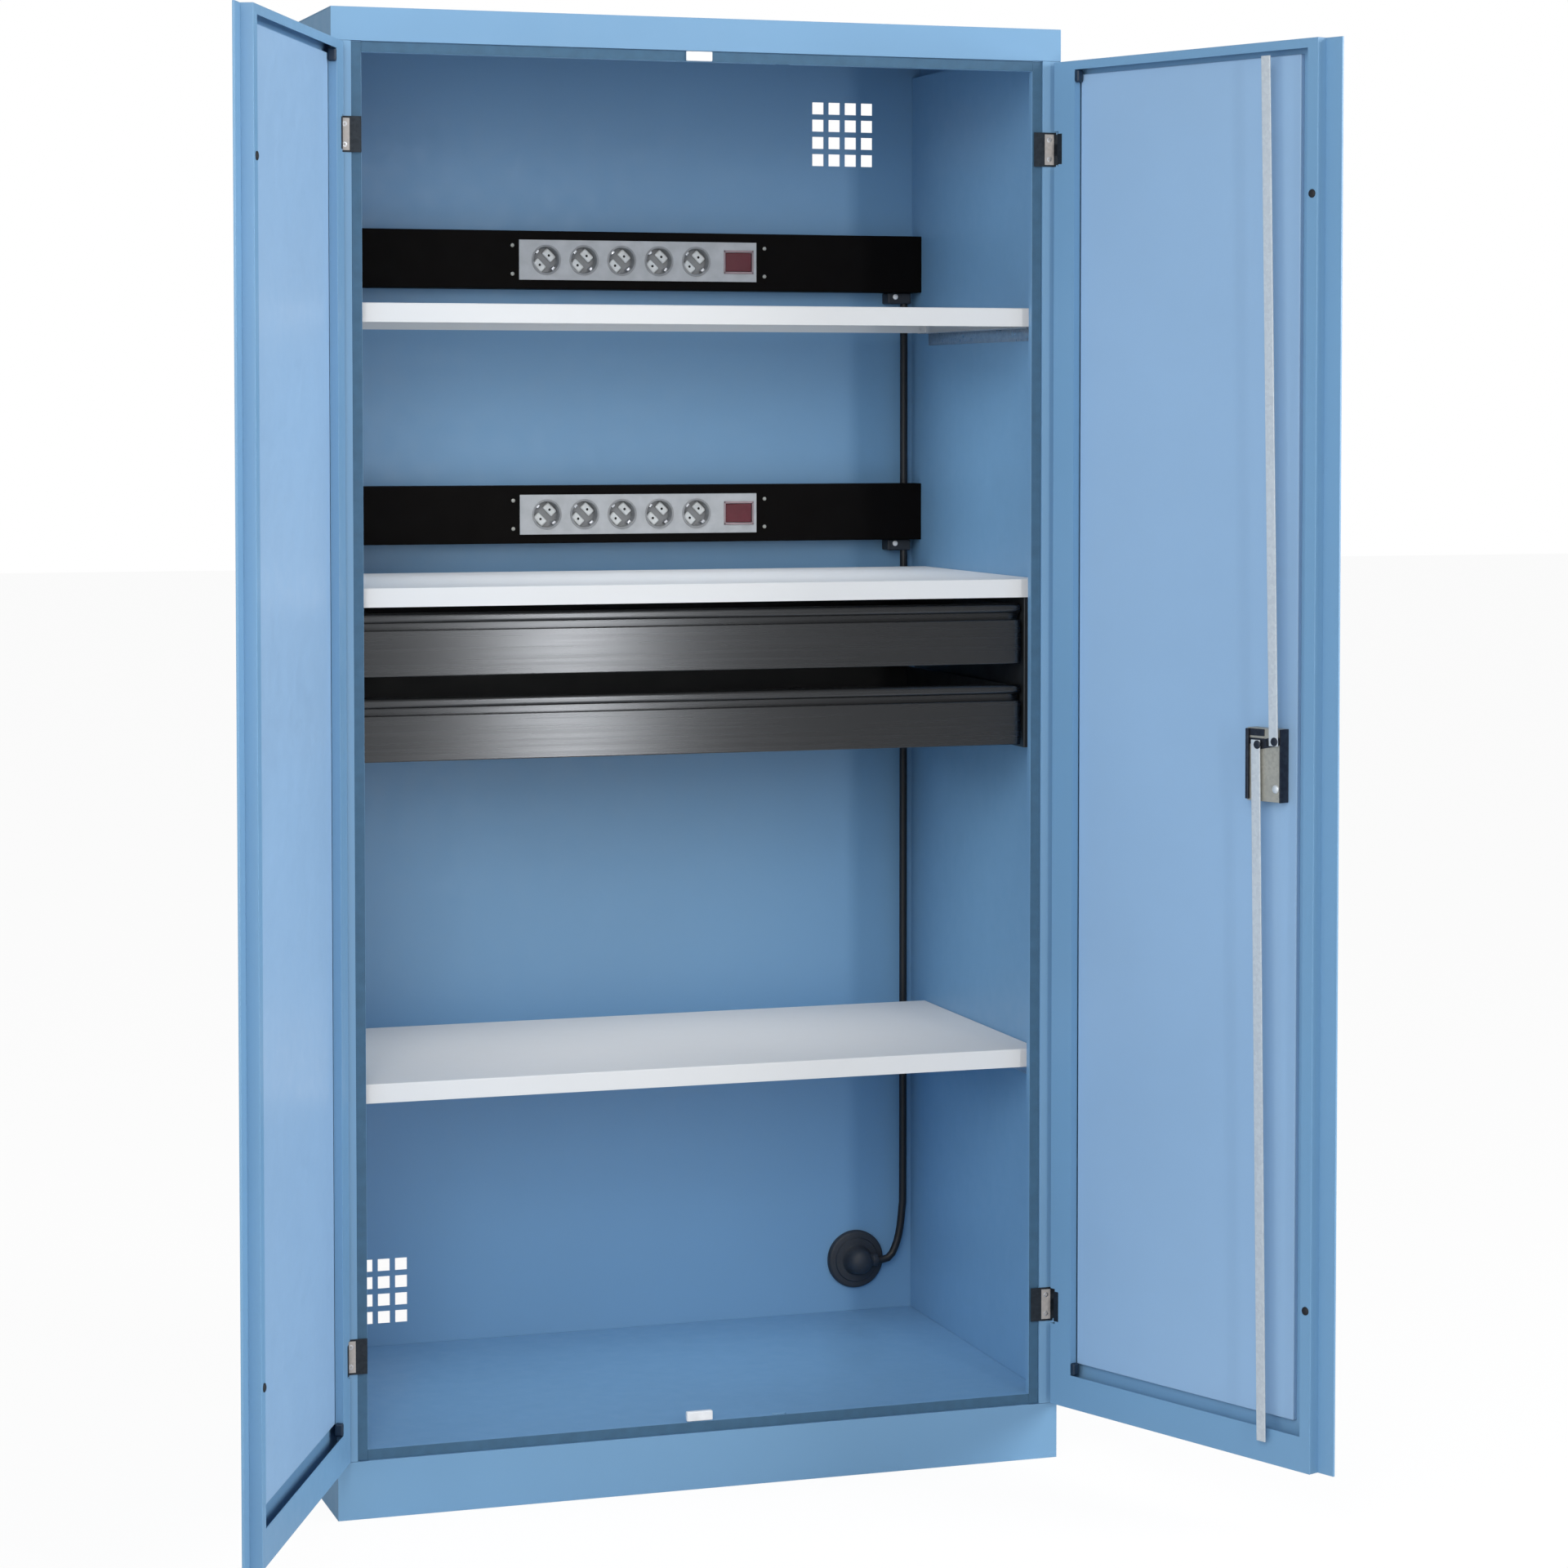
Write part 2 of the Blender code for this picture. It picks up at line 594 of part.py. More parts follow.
def build_plinth():
    """Plinth front with its foot flange and the bottom lip."""
    route = [(PLINTH_FOOT, 0), (0, 0), (0, PLINTH_HEIGHT), (LIP_SETBACK, PLINTH_HEIGHT),
             (LIP_SETBACK, SILL), (HEM_BACK, SILL)]
    plinth = piece("plinth", prism(folded(route, SHEET), -HALF_WIDTH, HALF_WIDTH, "x"), "blue paint")
    for side in (-1, 1):
        lip_end = sorted((side * (LIP_EDGE - SEAM), side * (HALF_WIDTH + OVERRUN)))
        side_sheet = sorted((side * (HALF_WIDTH - SHEET - SEAM), side * (HALF_WIDTH + OVERRUN)))
        cut(plinth,
            box(lip_end, (-OVERRUN, HEM_BACK + OVERRUN), (PLINTH_HEIGHT - SEAM, SILL + OVERRUN)),
            box(side_sheet, (SHEET + SEAM, PLINTH_FOOT + OVERRUN), (-OVERRUN, PLINTH_HEIGHT + OVERRUN)))
    cut(plinth, rod_slot(LOWER_ROD_AT["end"], (SILL - SHEET - OVERRUN / 2, SILL + OVERRUN)))


def rod_slot(rod_position, z_range):
    """Return the cutter for the slot in a lip's hem that a locking rod passes through."""
    centre = PIVOT_X - rod_position
    half = ROD_WIDTH / 2 + ROD_SLOT_PLAY
    return box((centre - half, centre + half), (LIP_BACK + SEAM, HEM_BACK + OVERRUN), z_range)


def build_side(name, side):
    """Side sheet with its stile, lip, hem and rear return."""
    route = [(HALF_WIDTH - REAR_RETURN, CARCASS_DEPTH), (HALF_WIDTH, CARCASS_DEPTH), (HALF_WIDTH, 0),
             (STILE_EDGE, 0), (STILE_EDGE, LIP_SETBACK), (LIP_EDGE, LIP_SETBACK), (LIP_EDGE, HEM_BACK)]
    top = CABINET_HEIGHT - SHEET - SEAM
    outline = mirrored(folded(route, SHEET), side)
    panel = piece(f"{name}_side_panel", prism(outline, 0, top), "blue paint")
    inside = HALF_WIDTH - SHEET + SEAM
    front = SHEET + SEAM
    notch = [(LIP_EDGE - OVERRUN, -OVERRUN), (HALF_WIDTH + OVERRUN, -OVERRUN), (HALF_WIDTH + OVERRUN, front),
             (inside, front), (inside, HEM_BACK + OVERRUN), (LIP_EDGE - OVERRUN, HEM_BACK + OVERRUN)]
    cut(panel,
        prism(mirrored(notch, side), -OVERRUN, PLINTH_HEIGHT),
        prism(mirrored(notch, side), FASCIA_BOTTOM, top + OVERRUN))


def build_liner(name, side):
    """Inner sheet of a double side wall."""
    across = sorted((side * INNER_HALF, side * (INNER_HALF + LINER_SHEET)))
    deep = (LIP_BACK + SEAM, BACK_FACE - SEAM)
    tall = (PLINTH_HEIGHT - FLOOR_FLANGE / 2, FASCIA_BOTTOM + FASCIA_HEIGHT / 2)
    piece(f"{name}_side_liner", box(across, deep, tall), "blue paint")


def vent_grid(x, z):
    """Return the cutter for one square field of vent holes."""
    first = -(VENT_ROWS - 1) / 2 * VENT_PITCH
    half = VENT_HOLE / 2
    holes = []
    for row in range(VENT_ROWS):
        for column in range(VENT_ROWS):
            cx, cz = x + first + column * VENT_PITCH, z + first + row * VENT_PITCH
            holes.append(box((cx - half, cx + half), (BACK_FACE - OVERRUN / 2, BACK_FACE + OVERRUN / 2),
                             (cz - half, cz + half)))
    return merged(holes)


def build_back():
    """Back sheet, a shallow tray between the sides, with two vents and the cable hole."""
    edge = HALF_WIDTH - SHEET - SEAM
    rear = CARCASS_DEPTH - SHEET - SEAM
    route = [(edge, rear), (edge, BACK_FACE), (-edge, BACK_FACE), (-edge, rear)]
    back = piece("back_panel", prism(folded(route, SHEET), 0, CABINET_HEIGHT - SHEET - SEAM), "blue paint")
    hole = circle((OUTLET_X, OUTLET_HEIGHT), OUTLET_HOLE_RADIUS, OUTLET_STEPS)
    cut(back,
        vent_grid(INNER_HALF - VENT_UPPER_FROM_WALL, CABINET_HEIGHT - VENT_UPPER_BELOW_ROOF),
        vent_grid(VENT_LOWER_FROM_WALL - INNER_HALF, VENT_LOWER_HEIGHT),
        prism(hole, BACK_FACE - OVERRUN / 2, BACK_FACE + OVERRUN / 2, "y"))


def build_floor():
    """Floor tray between the side liners."""
    half = INNER_HALF - SEAM
    piece("floor_panel",
          tray((-half, half), (HEM_BACK + SEAM, BACK_FACE - SEAM), (FLOOR_TOP - FLOOR_FLANGE, FLOOR_TOP),
               SHEET, "z-"), "blue paint")


def build_stops():
    """White stops at the top and bottom of the opening, where the doors meet."""
    across = (STOP_OFFSET - STOP_WIDTH / 2, STOP_OFFSET + STOP_WIDTH / 2)
    middle = (HEAD + FASCIA_BOTTOM) / 2
    piece("door_stop_top",
          box(across, (LIP_SETBACK - SEAM - STOP_THICKNESS, LIP_SETBACK - SEAM),
              (middle - STOP_HEIGHT / 2, middle + STOP_HEIGHT / 2)), "white plastic")
    piece("door_stop_bottom",
          box(across, (LIP_SETBACK, LIP_SETBACK + STOP_DEPTH), (SILL + SEAM, SILL + SEAM + STOP_HEIGHT)),
          "white plastic")


def build_shelf(name):
    """One shelf tray, open underneath."""
    half = INNER_HALF - SHELF_PLAY
    bottom = SHELF_BOTTOMS[name]
    piece(f"shelf_{name}",
          tray((-half, half), (SHELF_FRONT, SHELF_BACK), (bottom, bottom + SHELF_THICKNESS), SHELF_SHEET, "z-"),
          "shelf paint")


def build_shelf_angles(name):
    """The two angles that carry a shelf, one on each liner."""
    seat = SHELF_BOTTOMS[name] - SEAM
    outer = INNER_HALF - SEAM
    route = [(outer - ANGLE_LEG, seat), (outer, seat), (outer, seat - ANGLE_LEG)]
    for side_name, side in (("left", -1), ("right", 1)):
        outline = mirrored(folded(route, ANGLE_SHEET), side)
        piece(f"shelf_angle_{name}_{side_name}",
              prism(outline, SHELF_FRONT + ANGLE_END_INSET, SHELF_BACK - ANGLE_END_INSET, "y"), "zinc steel")


def strip_centre_height(name):
    """Return the height of a socket strip's middle line."""
    return CHANNEL_BOTTOMS[name] + CHANNEL_HEIGHT / 2


def rocker_x():
    """Return the place of a rocker's pivot along the strip."""
    return STRIP_OFFSET + STRIP_LENGTH / 2 - ROCKER_FROM_END


def build_channel(name):
    """Folded channel on the back wall, with the window that takes the socket strip."""
    bottom = CHANNEL_BOTTOMS[name]
    top = bottom + CHANNEL_HEIGHT
    rear = BACK_FACE - SEAM
    route = [(rear, bottom), (CHANNEL_FACE, bottom), (CHANNEL_FACE, top), (rear, top)]
    half = INNER_HALF - CHANNEL_PLAY
    channel = piece(f"power_channel_{name}", prism(folded(route, SHEET), -half, half, "x"), "black")
    middle = strip_centre_height(name)
    window_half = STRIP_LENGTH / 2 - STRIP_RIM + STRIP_FIT
    window_up = STRIP_HEIGHT / 2 - STRIP_RIM + STRIP_FIT
    cut(channel, box((STRIP_OFFSET - window_half, STRIP_OFFSET + window_half),
                     (CHANNEL_FACE - OVERRUN, CHANNEL_FACE + OVERRUN),
                     (middle - window_up, middle + window_up)))


def build_strip(name):
    """Socket strip: face frame, body, five round sockets turned by 45 degrees and the rocker's pocket."""
    middle = strip_centre_height(name)
    rear_of_frame = CHANNEL_FACE - SEAM
    face = rear_of_frame - STRIP_PROUD
    left, right = STRIP_OFFSET - STRIP_LENGTH / 2, STRIP_OFFSET + STRIP_LENGTH / 2
    half_up = STRIP_HEIGHT / 2
    strip = piece(f"socket_strip_{name}",
                  box((left, right), (face, rear_of_frame), (middle - half_up, middle + half_up)), "grey plastic")
    join(strip, box((left + STRIP_RIM, right - STRIP_RIM), (face + STRIP_PROUD / 2, face + STRIP_BODY_DEPTH),
                    (middle - half_up + STRIP_RIM, middle + half_up - STRIP_RIM)))
    recesses, pin_holes = [], []
    for i in range(SOCKET_COUNT):
        x = left + SOCKET_FROM_END + i * SOCKET_PITCH
        recesses.append(prism(circle((x, middle), SOCKET_RADIUS, SOCKET_STEPS),
                              face - OVERRUN, face + SOCKET_DEPTH, "y"))
        for end in (-1, 1):
            reach = end * PIN_HOLE_SPACING / 2
            centre = (x + reach * math.cos(PIN_HOLE_TURN), middle + reach * math.sin(PIN_HOLE_TURN))
            pin_holes.append(prism(circle(centre, PIN_HOLE_RADIUS, PIN_HOLE_STEPS),
                                   face + SOCKET_DEPTH / 2, face + SOCKET_DEPTH + PIN_HOLE_DEPTH, "y"))
    pocket_half = ROCKER_LENGTH / 2 + ROCKER_END_PLAY
    pocket_up = ROCKER_HEIGHT / 2 + ROCKER_PLAY
    cut(strip, merged(recesses), merged(pin_holes),
        box((rocker_x() - pocket_half, rocker_x() + pocket_half), (face - OVERRUN, face + ROCKER_POCKET_DEPTH),
            (middle - pocket_up, middle + pocket_up)))
    return face


def build_rocker(name, face):
    """Rocker switch, tilted about the upright pin through its middle."""
    middle = strip_centre_height(name)
    pivot = body_frame(f"rocker_{name}_pivot", (rocker_x(), face + ROCKER_THICKNESS / 2, middle), ROCKER_REST)
    end, half = ROCKER_LENGTH / 2, ROCKER_THICKNESS / 2
    outline = [(-end, -half), (0, -half - ROCKER_CREST), (end, -half), (end, half), (-end, half)]
    piece(f"rocker_{name}", prism(outline, -ROCKER_HEIGHT / 2, ROCKER_HEIGHT / 2), "red plastic", pivot)


def build_clip(name):
    """Cable clip under a channel: a saddle with the cable on its right and its screw on its left."""
    bore = CABLE_DIAMETER / 2 + CLIP_BORE_PLAY
    right = CABLE_X + bore + CLIP_WALL
    top = CHANNEL_BOTTOMS[name] - SEAM
    clip = piece(f"cable_clip_{name}",
                 box((right - CLIP_WIDTH, right), (CABLE_Y - bore - CLIP_WALL, BACK_FACE - SEAM),
                     (top - CLIP_HEIGHT, top)), "dark rubber")
    cut(clip, prism(circle((CABLE_X, CABLE_Y), bore, OUTLET_STEPS), top - CLIP_HEIGHT - OVERRUN, top + OVERRUN))


def build_outlet():
    """Cable outlet: flange on the back wall, elbow inside and nozzle outside."""
    flange_front = BACK_FACE - SEAM - OUTLET_THICKNESS
    neck = OUTLET_HOLE_RADIUS - SEAM
    rear = BACK_FACE + SHEET + OUTLET_NOZZLE_LENGTH / 2
    # Heights run from the front of the boss to the rear end of the nozzle
    boss_front = CABLE_Y - OUTLET_BOSS_RADIUS
    profile = [(0, boss_front), (OUTLET_BOSS_RADIUS, boss_front), (OUTLET_BOSS_RADIUS, flange_front),
               (OUTLET_RADIUS, flange_front), (OUTLET_RADIUS, BACK_FACE - SEAM), (neck, BACK_FACE - SEAM),
               (neck, rear), (OUTLET_NOZZLE_RADIUS, rear), (OUTLET_NOZZLE_RADIUS, rear + OUTLET_NOZZLE_LENGTH),
               (0, rear + OUTLET_NOZZLE_LENGTH)]
    outlet = piece("cable_outlet",
                   turned(profile, OUTLET_STEPS, along((0, 1, 0), (OUTLET_X, 0, OUTLET_HEIGHT))), "dark rubber")
    join(outlet, prism(circle((CABLE_Y, OUTLET_HEIGHT), OUTLET_ELBOW_RADIUS, OUTLET_STEPS),
                       OUTLET_X, OUTLET_X + OUTLET_ELBOW_LENGTH, "x"))
    rounded(outlet)
    return rear + OUTLET_NOZZLE_LENGTH


def build_cables():
    """The link between the channels, and the feed from the lower channel to the outlet."""
    spacing = FEED_SPACING_SHARE * CABLE_DIAMETER
    link = [(CABLE_X, CABLE_Y, CHANNEL_BOTTOMS["upper"] - SEAM),
            (CABLE_X, CABLE_Y, CHANNEL_BOTTOMS["lower"] + CHANNEL_HEIGHT + SEAM)]
    tube("link_cable", link, CABLE_DIAMETER, "black", 3)
    elbow_end = OUTLET_X + OUTLET_ELBOW_LENGTH + SEAM
    sideways, drop = CABLE_X - elbow_end, FEED_BEND_DROP
    feed = [(CABLE_X, CABLE_Y, CHANNEL_BOTTOMS["lower"] - SEAM)]
    for across_share, up_share in FEED_BEND_SHARES:
        feed.append((elbow_end + sideways * across_share, CABLE_Y, OUTLET_HEIGHT + drop * up_share))
    end = Vector((elbow_end, CABLE_Y, OUTLET_HEIGHT))
    tube("feed_cable", [*smooth_route(feed, spacing), end], CABLE_DIAMETER, "black", 3)


def build_coil(start_behind):
    """Mains lead outside: down from the outlet to the floor, a round coil and the plug."""
    radius = CABLE_DIAMETER / 2
    centre = Vector((COIL_CENTRE_X, CARCASS_DEPTH + COIL_CENTRE_BEHIND, 0))
    outer = COIL_RADIUS + COIL_PITCH * COIL_TURNS_PER_LAYER / 2
    inner = outer - COIL_PITCH * COIL_TURNS_PER_LAYER
    total = 2 * COIL_TURNS_PER_LAYER + 0.5
    points = []
    for i in range(round(total * COIL_STEPS) + 1):
        turn = i / COIL_STEPS
        climb = min(max((turn - COIL_TURNS_PER_LAYER) / 0.5, 0.0), 1.0)
        inward = min(turn, COIL_TURNS_PER_LAYER)
        outward = max(turn - COIL_TURNS_PER_LAYER - 0.5, 0.0)
        reach = outer - COIL_PITCH * (inward - outward)
        angle = math.tau * turn
        points.append(centre + Vector((reach * math.cos(angle), reach * math.sin(angle),
                                       radius + COIL_PITCH * climb)))
    first, last = points[0], points[-1]
    lead_in = Vector((0, -1, 0))
    lead_out = Vector((0, -1, 0))
    points = [first + lead_in * CABLE_DIAMETER, *points, last + lead_out * COIL_TAIL]
    report_self_gap(points)
    tube("mains_lead_coil", points, CABLE_DIAMETER, "black", 1)
    build_lead(start_behind, points[0] + lead_in * SEAM)
    build_plug(points[-1] + lead_out * SEAM, lead_out)


def report_self_gap(points):
    """Print the least gap between turns of the coil that aren't neighbours along the cable."""
    least = math.inf
    apart = COIL_STEPS // 2
    samples = []
    for a, b in zip(points, points[1:]):
        samples += [a.lerp(b, k / 4) for k in range(4)]
    for i, p in enumerate(samples):
        for q in samples[i + 4 * apart:]:
            least = min(least, (p - q).length)
    print(f"least gap between the coil's turns: {(least - CABLE_DIAMETER) * 1000:.2f} mm")


def build_lead(start_behind, end):
    """The free stretch between the outlet's nozzle and the coil."""
    radius = CABLE_DIAMETER / 2
    start = Vector((OUTLET_X, start_behind + SEAM, OUTLET_HEIGHT))
    straight = Vector((0, CABLE_DIAMETER, 0))
    route = [start + straight]
    for across_share, behind_share, up_share in LEAD_SHARES:
        route.append(Vector((start.x + (end.x - start.x) * across_share,
                             start.y + (end.y - start.y) * behind_share,
                             radius + (start.z - radius) * up_share)))
    route.append(end - straight)
    points = [start, *smooth_route(route, LEAD_SPACING_SHARE * CABLE_DIAMETER), end]
    for point in points:
        point.z = max(point.z, radius)
    tube("mains_lead", points, CABLE_DIAMETER, "black", 3)


def build_plug(start, direction):
    """Round mains plug with its two pins, lying on the floor."""
    radius = COIL_END_HEIGHT - SEAM
    profile = [(0, 0), (PLUG_NECK_RADIUS, 0)]
    profile += [(radius * across, PLUG_LENGTH * up) for across, up in PLUG_OUTLINE_SHARES]
    profile.append((0, PLUG_LENGTH))
    plug = rounded(piece("mains_plug", turned(profile, PLUG_STEPS, along(direction, start)), "black"))
    for end in (-1, 1):
        root = start + Vector(direction) * PLUG_LENGTH / 2 + Vector((end * PIN_HOLE_SPACING / 2, 0, 0))
        pin_profile = [(0, 0), (PLUG_PIN_RADIUS, 0), (PLUG_PIN_RADIUS, PLUG_LENGTH / 2 + PLUG_PIN_LENGTH),
                       (0, PLUG_LENGTH / 2 + PLUG_PIN_LENGTH)]
        join(plug, turned(pin_profile, PIN_HOLE_STEPS, along(direction, root)))


def door_point(side, position, depth):
    """Return a point of a closed door in its hinge's frame, from its distance along and into the door."""
    return -side * position, DOOR_INNER_PLANE - depth


def door_prism(side, outline, z_range):
    """Extrude an outline given in distance along and into the door."""
    return prism([door_point(side, s, d) for s, d in outline], *z_range)


def door_box(side, s_range, d_range, z_range):
    """Make a box in a door's own measures."""
    (s0, s1), (d0, d1) = s_range, d_range
    return door_prism(side, [(s0, d0), (s1, d0), (s1, d1), (s0, d1)], z_range)


def hinge_span(end, play):
    """Return the height range of a hinge with some play at both ends."""
    half = HINGE_HEIGHT / 2 + play
    return HINGE_CENTRES[end] - half, HINGE_CENTRES[end] + half


def build_door(name, side, rest):
    """Folded door shell with its inner sheet, hung on its hinge frame."""
    hinge = body_frame(f"{name}_door_hinge", (side * PIVOT_X, -PIVOT_OUT, 0), rest)
    start, thick, sheet = -HINGE_SETBACK, DOOR_THICKNESS, DOOR_SHEET
    outline = [(start, 0), (DOOR_BODY_END, 0), (DOOR_BODY_END, thick - DOOR_REBATE_THICKNESS),
               (DOOR_EDGE, thick - DOOR_REBATE_THICKNESS), (DOOR_EDGE, thick), (start, thick)]
    shell = piece(f"{name}_door_shell", door_prism(side, outline, (DOOR_BOTTOM, DOOR_TOP)),
                  "light blue paint", hinge)
    hollow_far, hollow_deep = DOOR_BODY_END - sheet, thick - sheet
    window = [(start + sheet, sheet), (DOOR_LIP_END, sheet), (DOOR_LIP_END, DOOR_LINER_RECESS),
              (DOOR_LIP_END + sheet, DOOR_LINER_RECESS), (DOOR_LIP_END + sheet, -OVERRUN),
              (DOOR_LIP_START, -OVERRUN), (DOOR_LIP_START, sheet), (hollow_far, sheet),
              (hollow_far, hollow_deep), (start + sheet, hollow_deep)]
    cut(shell,
        door_prism(side, window, (DOOR_WINDOW_BOTTOM, DOOR_WINDOW_TOP)),
        door_box(side, (start + sheet, hollow_far), (sheet, hollow_deep),
                 (DOOR_BOTTOM + sheet, DOOR_WINDOW_BOTTOM + sheet)),
        door_box(side, (start + sheet, hollow_far), (sheet, hollow_deep),
                 (DOOR_WINDOW_TOP - sheet, DOOR_TOP - sheet)))
    for end in HINGE_CENTRES:
        cut(shell, door_box(side, (start - OVERRUN, HINGE_NOTCH), (-OVERRUN, thick + OVERRUN),
                            hinge_span(end, HINGE_NOTCH_PLAY)))
    near, far = door_point(side, DOOR_LINER_START, 0)[0], door_point(side, DOOR_LINER_END, 0)[0]
    rear = DOOR_INNER_PLANE - (hollow_deep - SEAM)
    front = DOOR_INNER_PLANE - DOOR_LINER_RECESS
    liner = piece(f"{name}_door_liner",
                  tray(sorted((near, far)), (rear, front), (DOOR_LINER_BOTTOM, DOOR_LINER_TOP), sheet, "y-"),
                  "light blue paint", hinge)
    for end in HINGE_CENTRES:
        build_door_leaf(name, side, end, hinge)
        build_frame_leaf(name, side, end)
    return hinge, shell, liner


def knuckle_ranges(end):
    """Return the height ranges of a hinge's lower, middle and upper knuckle."""
    low, high = hinge_span(end, 0)
    third = HINGE_HEIGHT / 3
    return ((low, low + third - HINGE_KNUCKLE_GAP), (low + third, high - third),
            (high - third + HINGE_KNUCKLE_GAP, high))


def build_door_leaf(name, side, end, hinge):
    """Moving leaf: a plate inside the door's edge with an upper and a lower knuckle."""
    low, high = hinge_span(end, HINGE_PLATE_OVERLAP)
    plate_start = HINGE_NOTCH + SEAM
    plate_depths = (DOOR_SHEET + SEAM, DOOR_THICKNESS - DOOR_SHEET - SEAM)
    leaf = piece(f"door_hinge_{name}_{end}",
                 door_box(side, (plate_start, plate_start + HINGE_LEAF_SHEET), plate_depths, (low, high)),
                 "zinc steel", hinge)
    bore = HINGE_PIN_RADIUS + HINGE_PIN_PLAY
    ranges = knuckle_ranges(end)
    for z_range in (ranges[0], ranges[2]):
        web = door_box(side, (HINGE_PIN_RADIUS, plate_start + HINGE_LEAF_SHEET / 2),
                       (DOOR_INNER_PLANE - HINGE_WEB / 2, DOOR_INNER_PLANE + HINGE_WEB / 2), z_range)
        join(leaf, web, prism(circle((0, 0), HINGE_KNUCKLE_RADIUS, HINGE_STEPS), *z_range))
        cut(leaf, prism(circle((0, 0), bore, HINGE_STEPS), z_range[0] - SEAM, z_range[1] + SEAM))


def build_frame_leaf(name, side, end):
    """Fixed leaf on the stile with the middle knuckle and the pin."""
    low, high = hinge_span(end, 0)
    plate_front = -SEAM - HINGE_LEAF_SHEET
    outer = HALF_WIDTH - HINGE_LEAF_FROM_SIDE
    across = sorted((side * (LIP_EDGE + SHEET), side * outer))
    leaf = piece(f"frame_hinge_{name}_{end}", box(across, (plate_front, -SEAM), (low, high)), "zinc steel")
    middle = knuckle_ranges(end)[1]
    pivot = (side * PIVOT_X, -PIVOT_OUT)
    half = HINGE_WEB / 2
    bridge = sorted((side * (outer - HINGE_WEB), side * (PIVOT_X + half)))
    web = sorted((side * (PIVOT_X - half), side * (PIVOT_X + half)))
    join(leaf,
         box(bridge, (plate_front, -SEAM), middle),
         box(web, (-PIVOT_OUT, plate_front + HINGE_LEAF_SHEET / 2), middle),
         prism(circle(pivot, HINGE_KNUCKLE_RADIUS, HINGE_STEPS), *middle),
         prism(circle(pivot, HINGE_PIN_RADIUS, HINGE_STEPS), low, high))


def lock_bore(position, height, radius, depths):
    """Return a round cutter through the right door, from one depth to another."""
    x = -position
    near, far = DOOR_INNER_PLANE - depths[1], DOOR_INNER_PLANE - depths[0]
    return prism(circle((x, height), radius, SPINDLE_STEPS), near, far, "y")


def build_lock(hinge, shell, liner):
    """Lock case, outer plate, handle with its cam, key cylinder and the two rods."""
    spindle_bore = SPINDLE_RADIUS + SPINDLE_PLAY
    key_bore = KEY_RADIUS + SPINDLE_PLAY
    through = (-OVERRUN, DOOR_THICKNESS + OVERRUN)
    for sheet in (shell, liner):
        cut(sheet, lock_bore(SPINDLE_POSITION, SPINDLE_HEIGHT, spindle_bore, through),
            lock_bore(SPINDLE_POSITION, KEY_HEIGHT, key_bore, through))
    case = piece("lock_case",
                 tray((-LOCK_CASE_START - LOCK_CASE_WIDTH, -LOCK_CASE_START),
                      (DOOR_INNER_PLANE - CASE_BASE, DOOR_INNER_PLANE - CASE_FACE),
                      (LOCK_CASE_BOTTOM, LOCK_CASE_BOTTOM + LOCK_CASE_HEIGHT), LOCK_CASE_SHEET, "y-"),
                 "lock steel", hinge)
    cut(case, lock_bore(SPINDLE_POSITION, SPINDLE_HEIGHT, spindle_bore,
                        (CASE_FACE - OVERRUN / 2, CASE_FACE + OVERRUN / 2)))
    build_lock_plate(hinge)
    build_handle(hinge)
    build_key(hinge)
    build_rod("upper", hinge)
    build_rod("lower", hinge)


def build_lock_plate(hinge):
    """Plate on the outer face round the handle and the key cylinder."""
    base = DOOR_THICKNESS + SEAM
    top = SPINDLE_HEIGHT + LOCK_PLATE_ABOVE_SPINDLE
    half = LOCK_PLATE_WIDTH / 2
    plate = piece("lock_plate",
                  door_box(1, (SPINDLE_POSITION - half, SPINDLE_POSITION + half),
                           (base, base + LOCK_PLATE_SHEET), (top - LOCK_PLATE_HEIGHT, top)),
                  "black", hinge)
    span = (base - OVERRUN, base + LOCK_PLATE_SHEET + OVERRUN)
    cut(plate, lock_bore(SPINDLE_POSITION, SPINDLE_HEIGHT, SPINDLE_RADIUS + LOCK_PLATE_BORE_PLAY, span),
        lock_bore(SPINDLE_POSITION, KEY_HEIGHT, KEY_RADIUS + LOCK_PLATE_BORE_PLAY, span))


def build_handle(hinge):
    """Turn handle with its spindle, and the cam on the spindle's inner end."""
    frame = body_frame("lock_spindle", (-SPINDLE_POSITION, 0, SPINDLE_HEIGHT), 0.0, hinge, "Y")
    hub_base = DOOR_INNER_PLANE - DOOR_THICKNESS - LOCK_PLATE_SHEET - 2 * SEAM
    hub_end = hub_base - HANDLE_HUB_LENGTH
    spindle_end = DOOR_INNER_PLANE - CAM_FACE
    profile = [(0, -spindle_end), (SPINDLE_RADIUS, -spindle_end), (SPINDLE_RADIUS, -hub_base),
               (HANDLE_HUB_RADIUS, -hub_base), (HANDLE_HUB_RADIUS, -hub_end), (0, -hub_end)]
    handle = rounded(piece("lock_handle", turned(profile, OUTLET_STEPS, along((0, -1, 0), (0, 0, 0))),
                           "black", frame))
    half_width, half_length = HANDLE_GRIP_WIDTH / 2, HANDLE_GRIP_LENGTH / 2
    end_centre = half_length - half_width
    grip = [(x, z) for x, z in circle((0, end_centre), half_width, OUTLET_STEPS) if z >= end_centre]
    grip += [(-x, -z) for x, z in grip]
    join(handle, prism(grip, hub_end - HANDLE_GRIP_RISE, hub_end + HANDLE_HUB_LENGTH / 2, "y"))
    build_cam(frame)


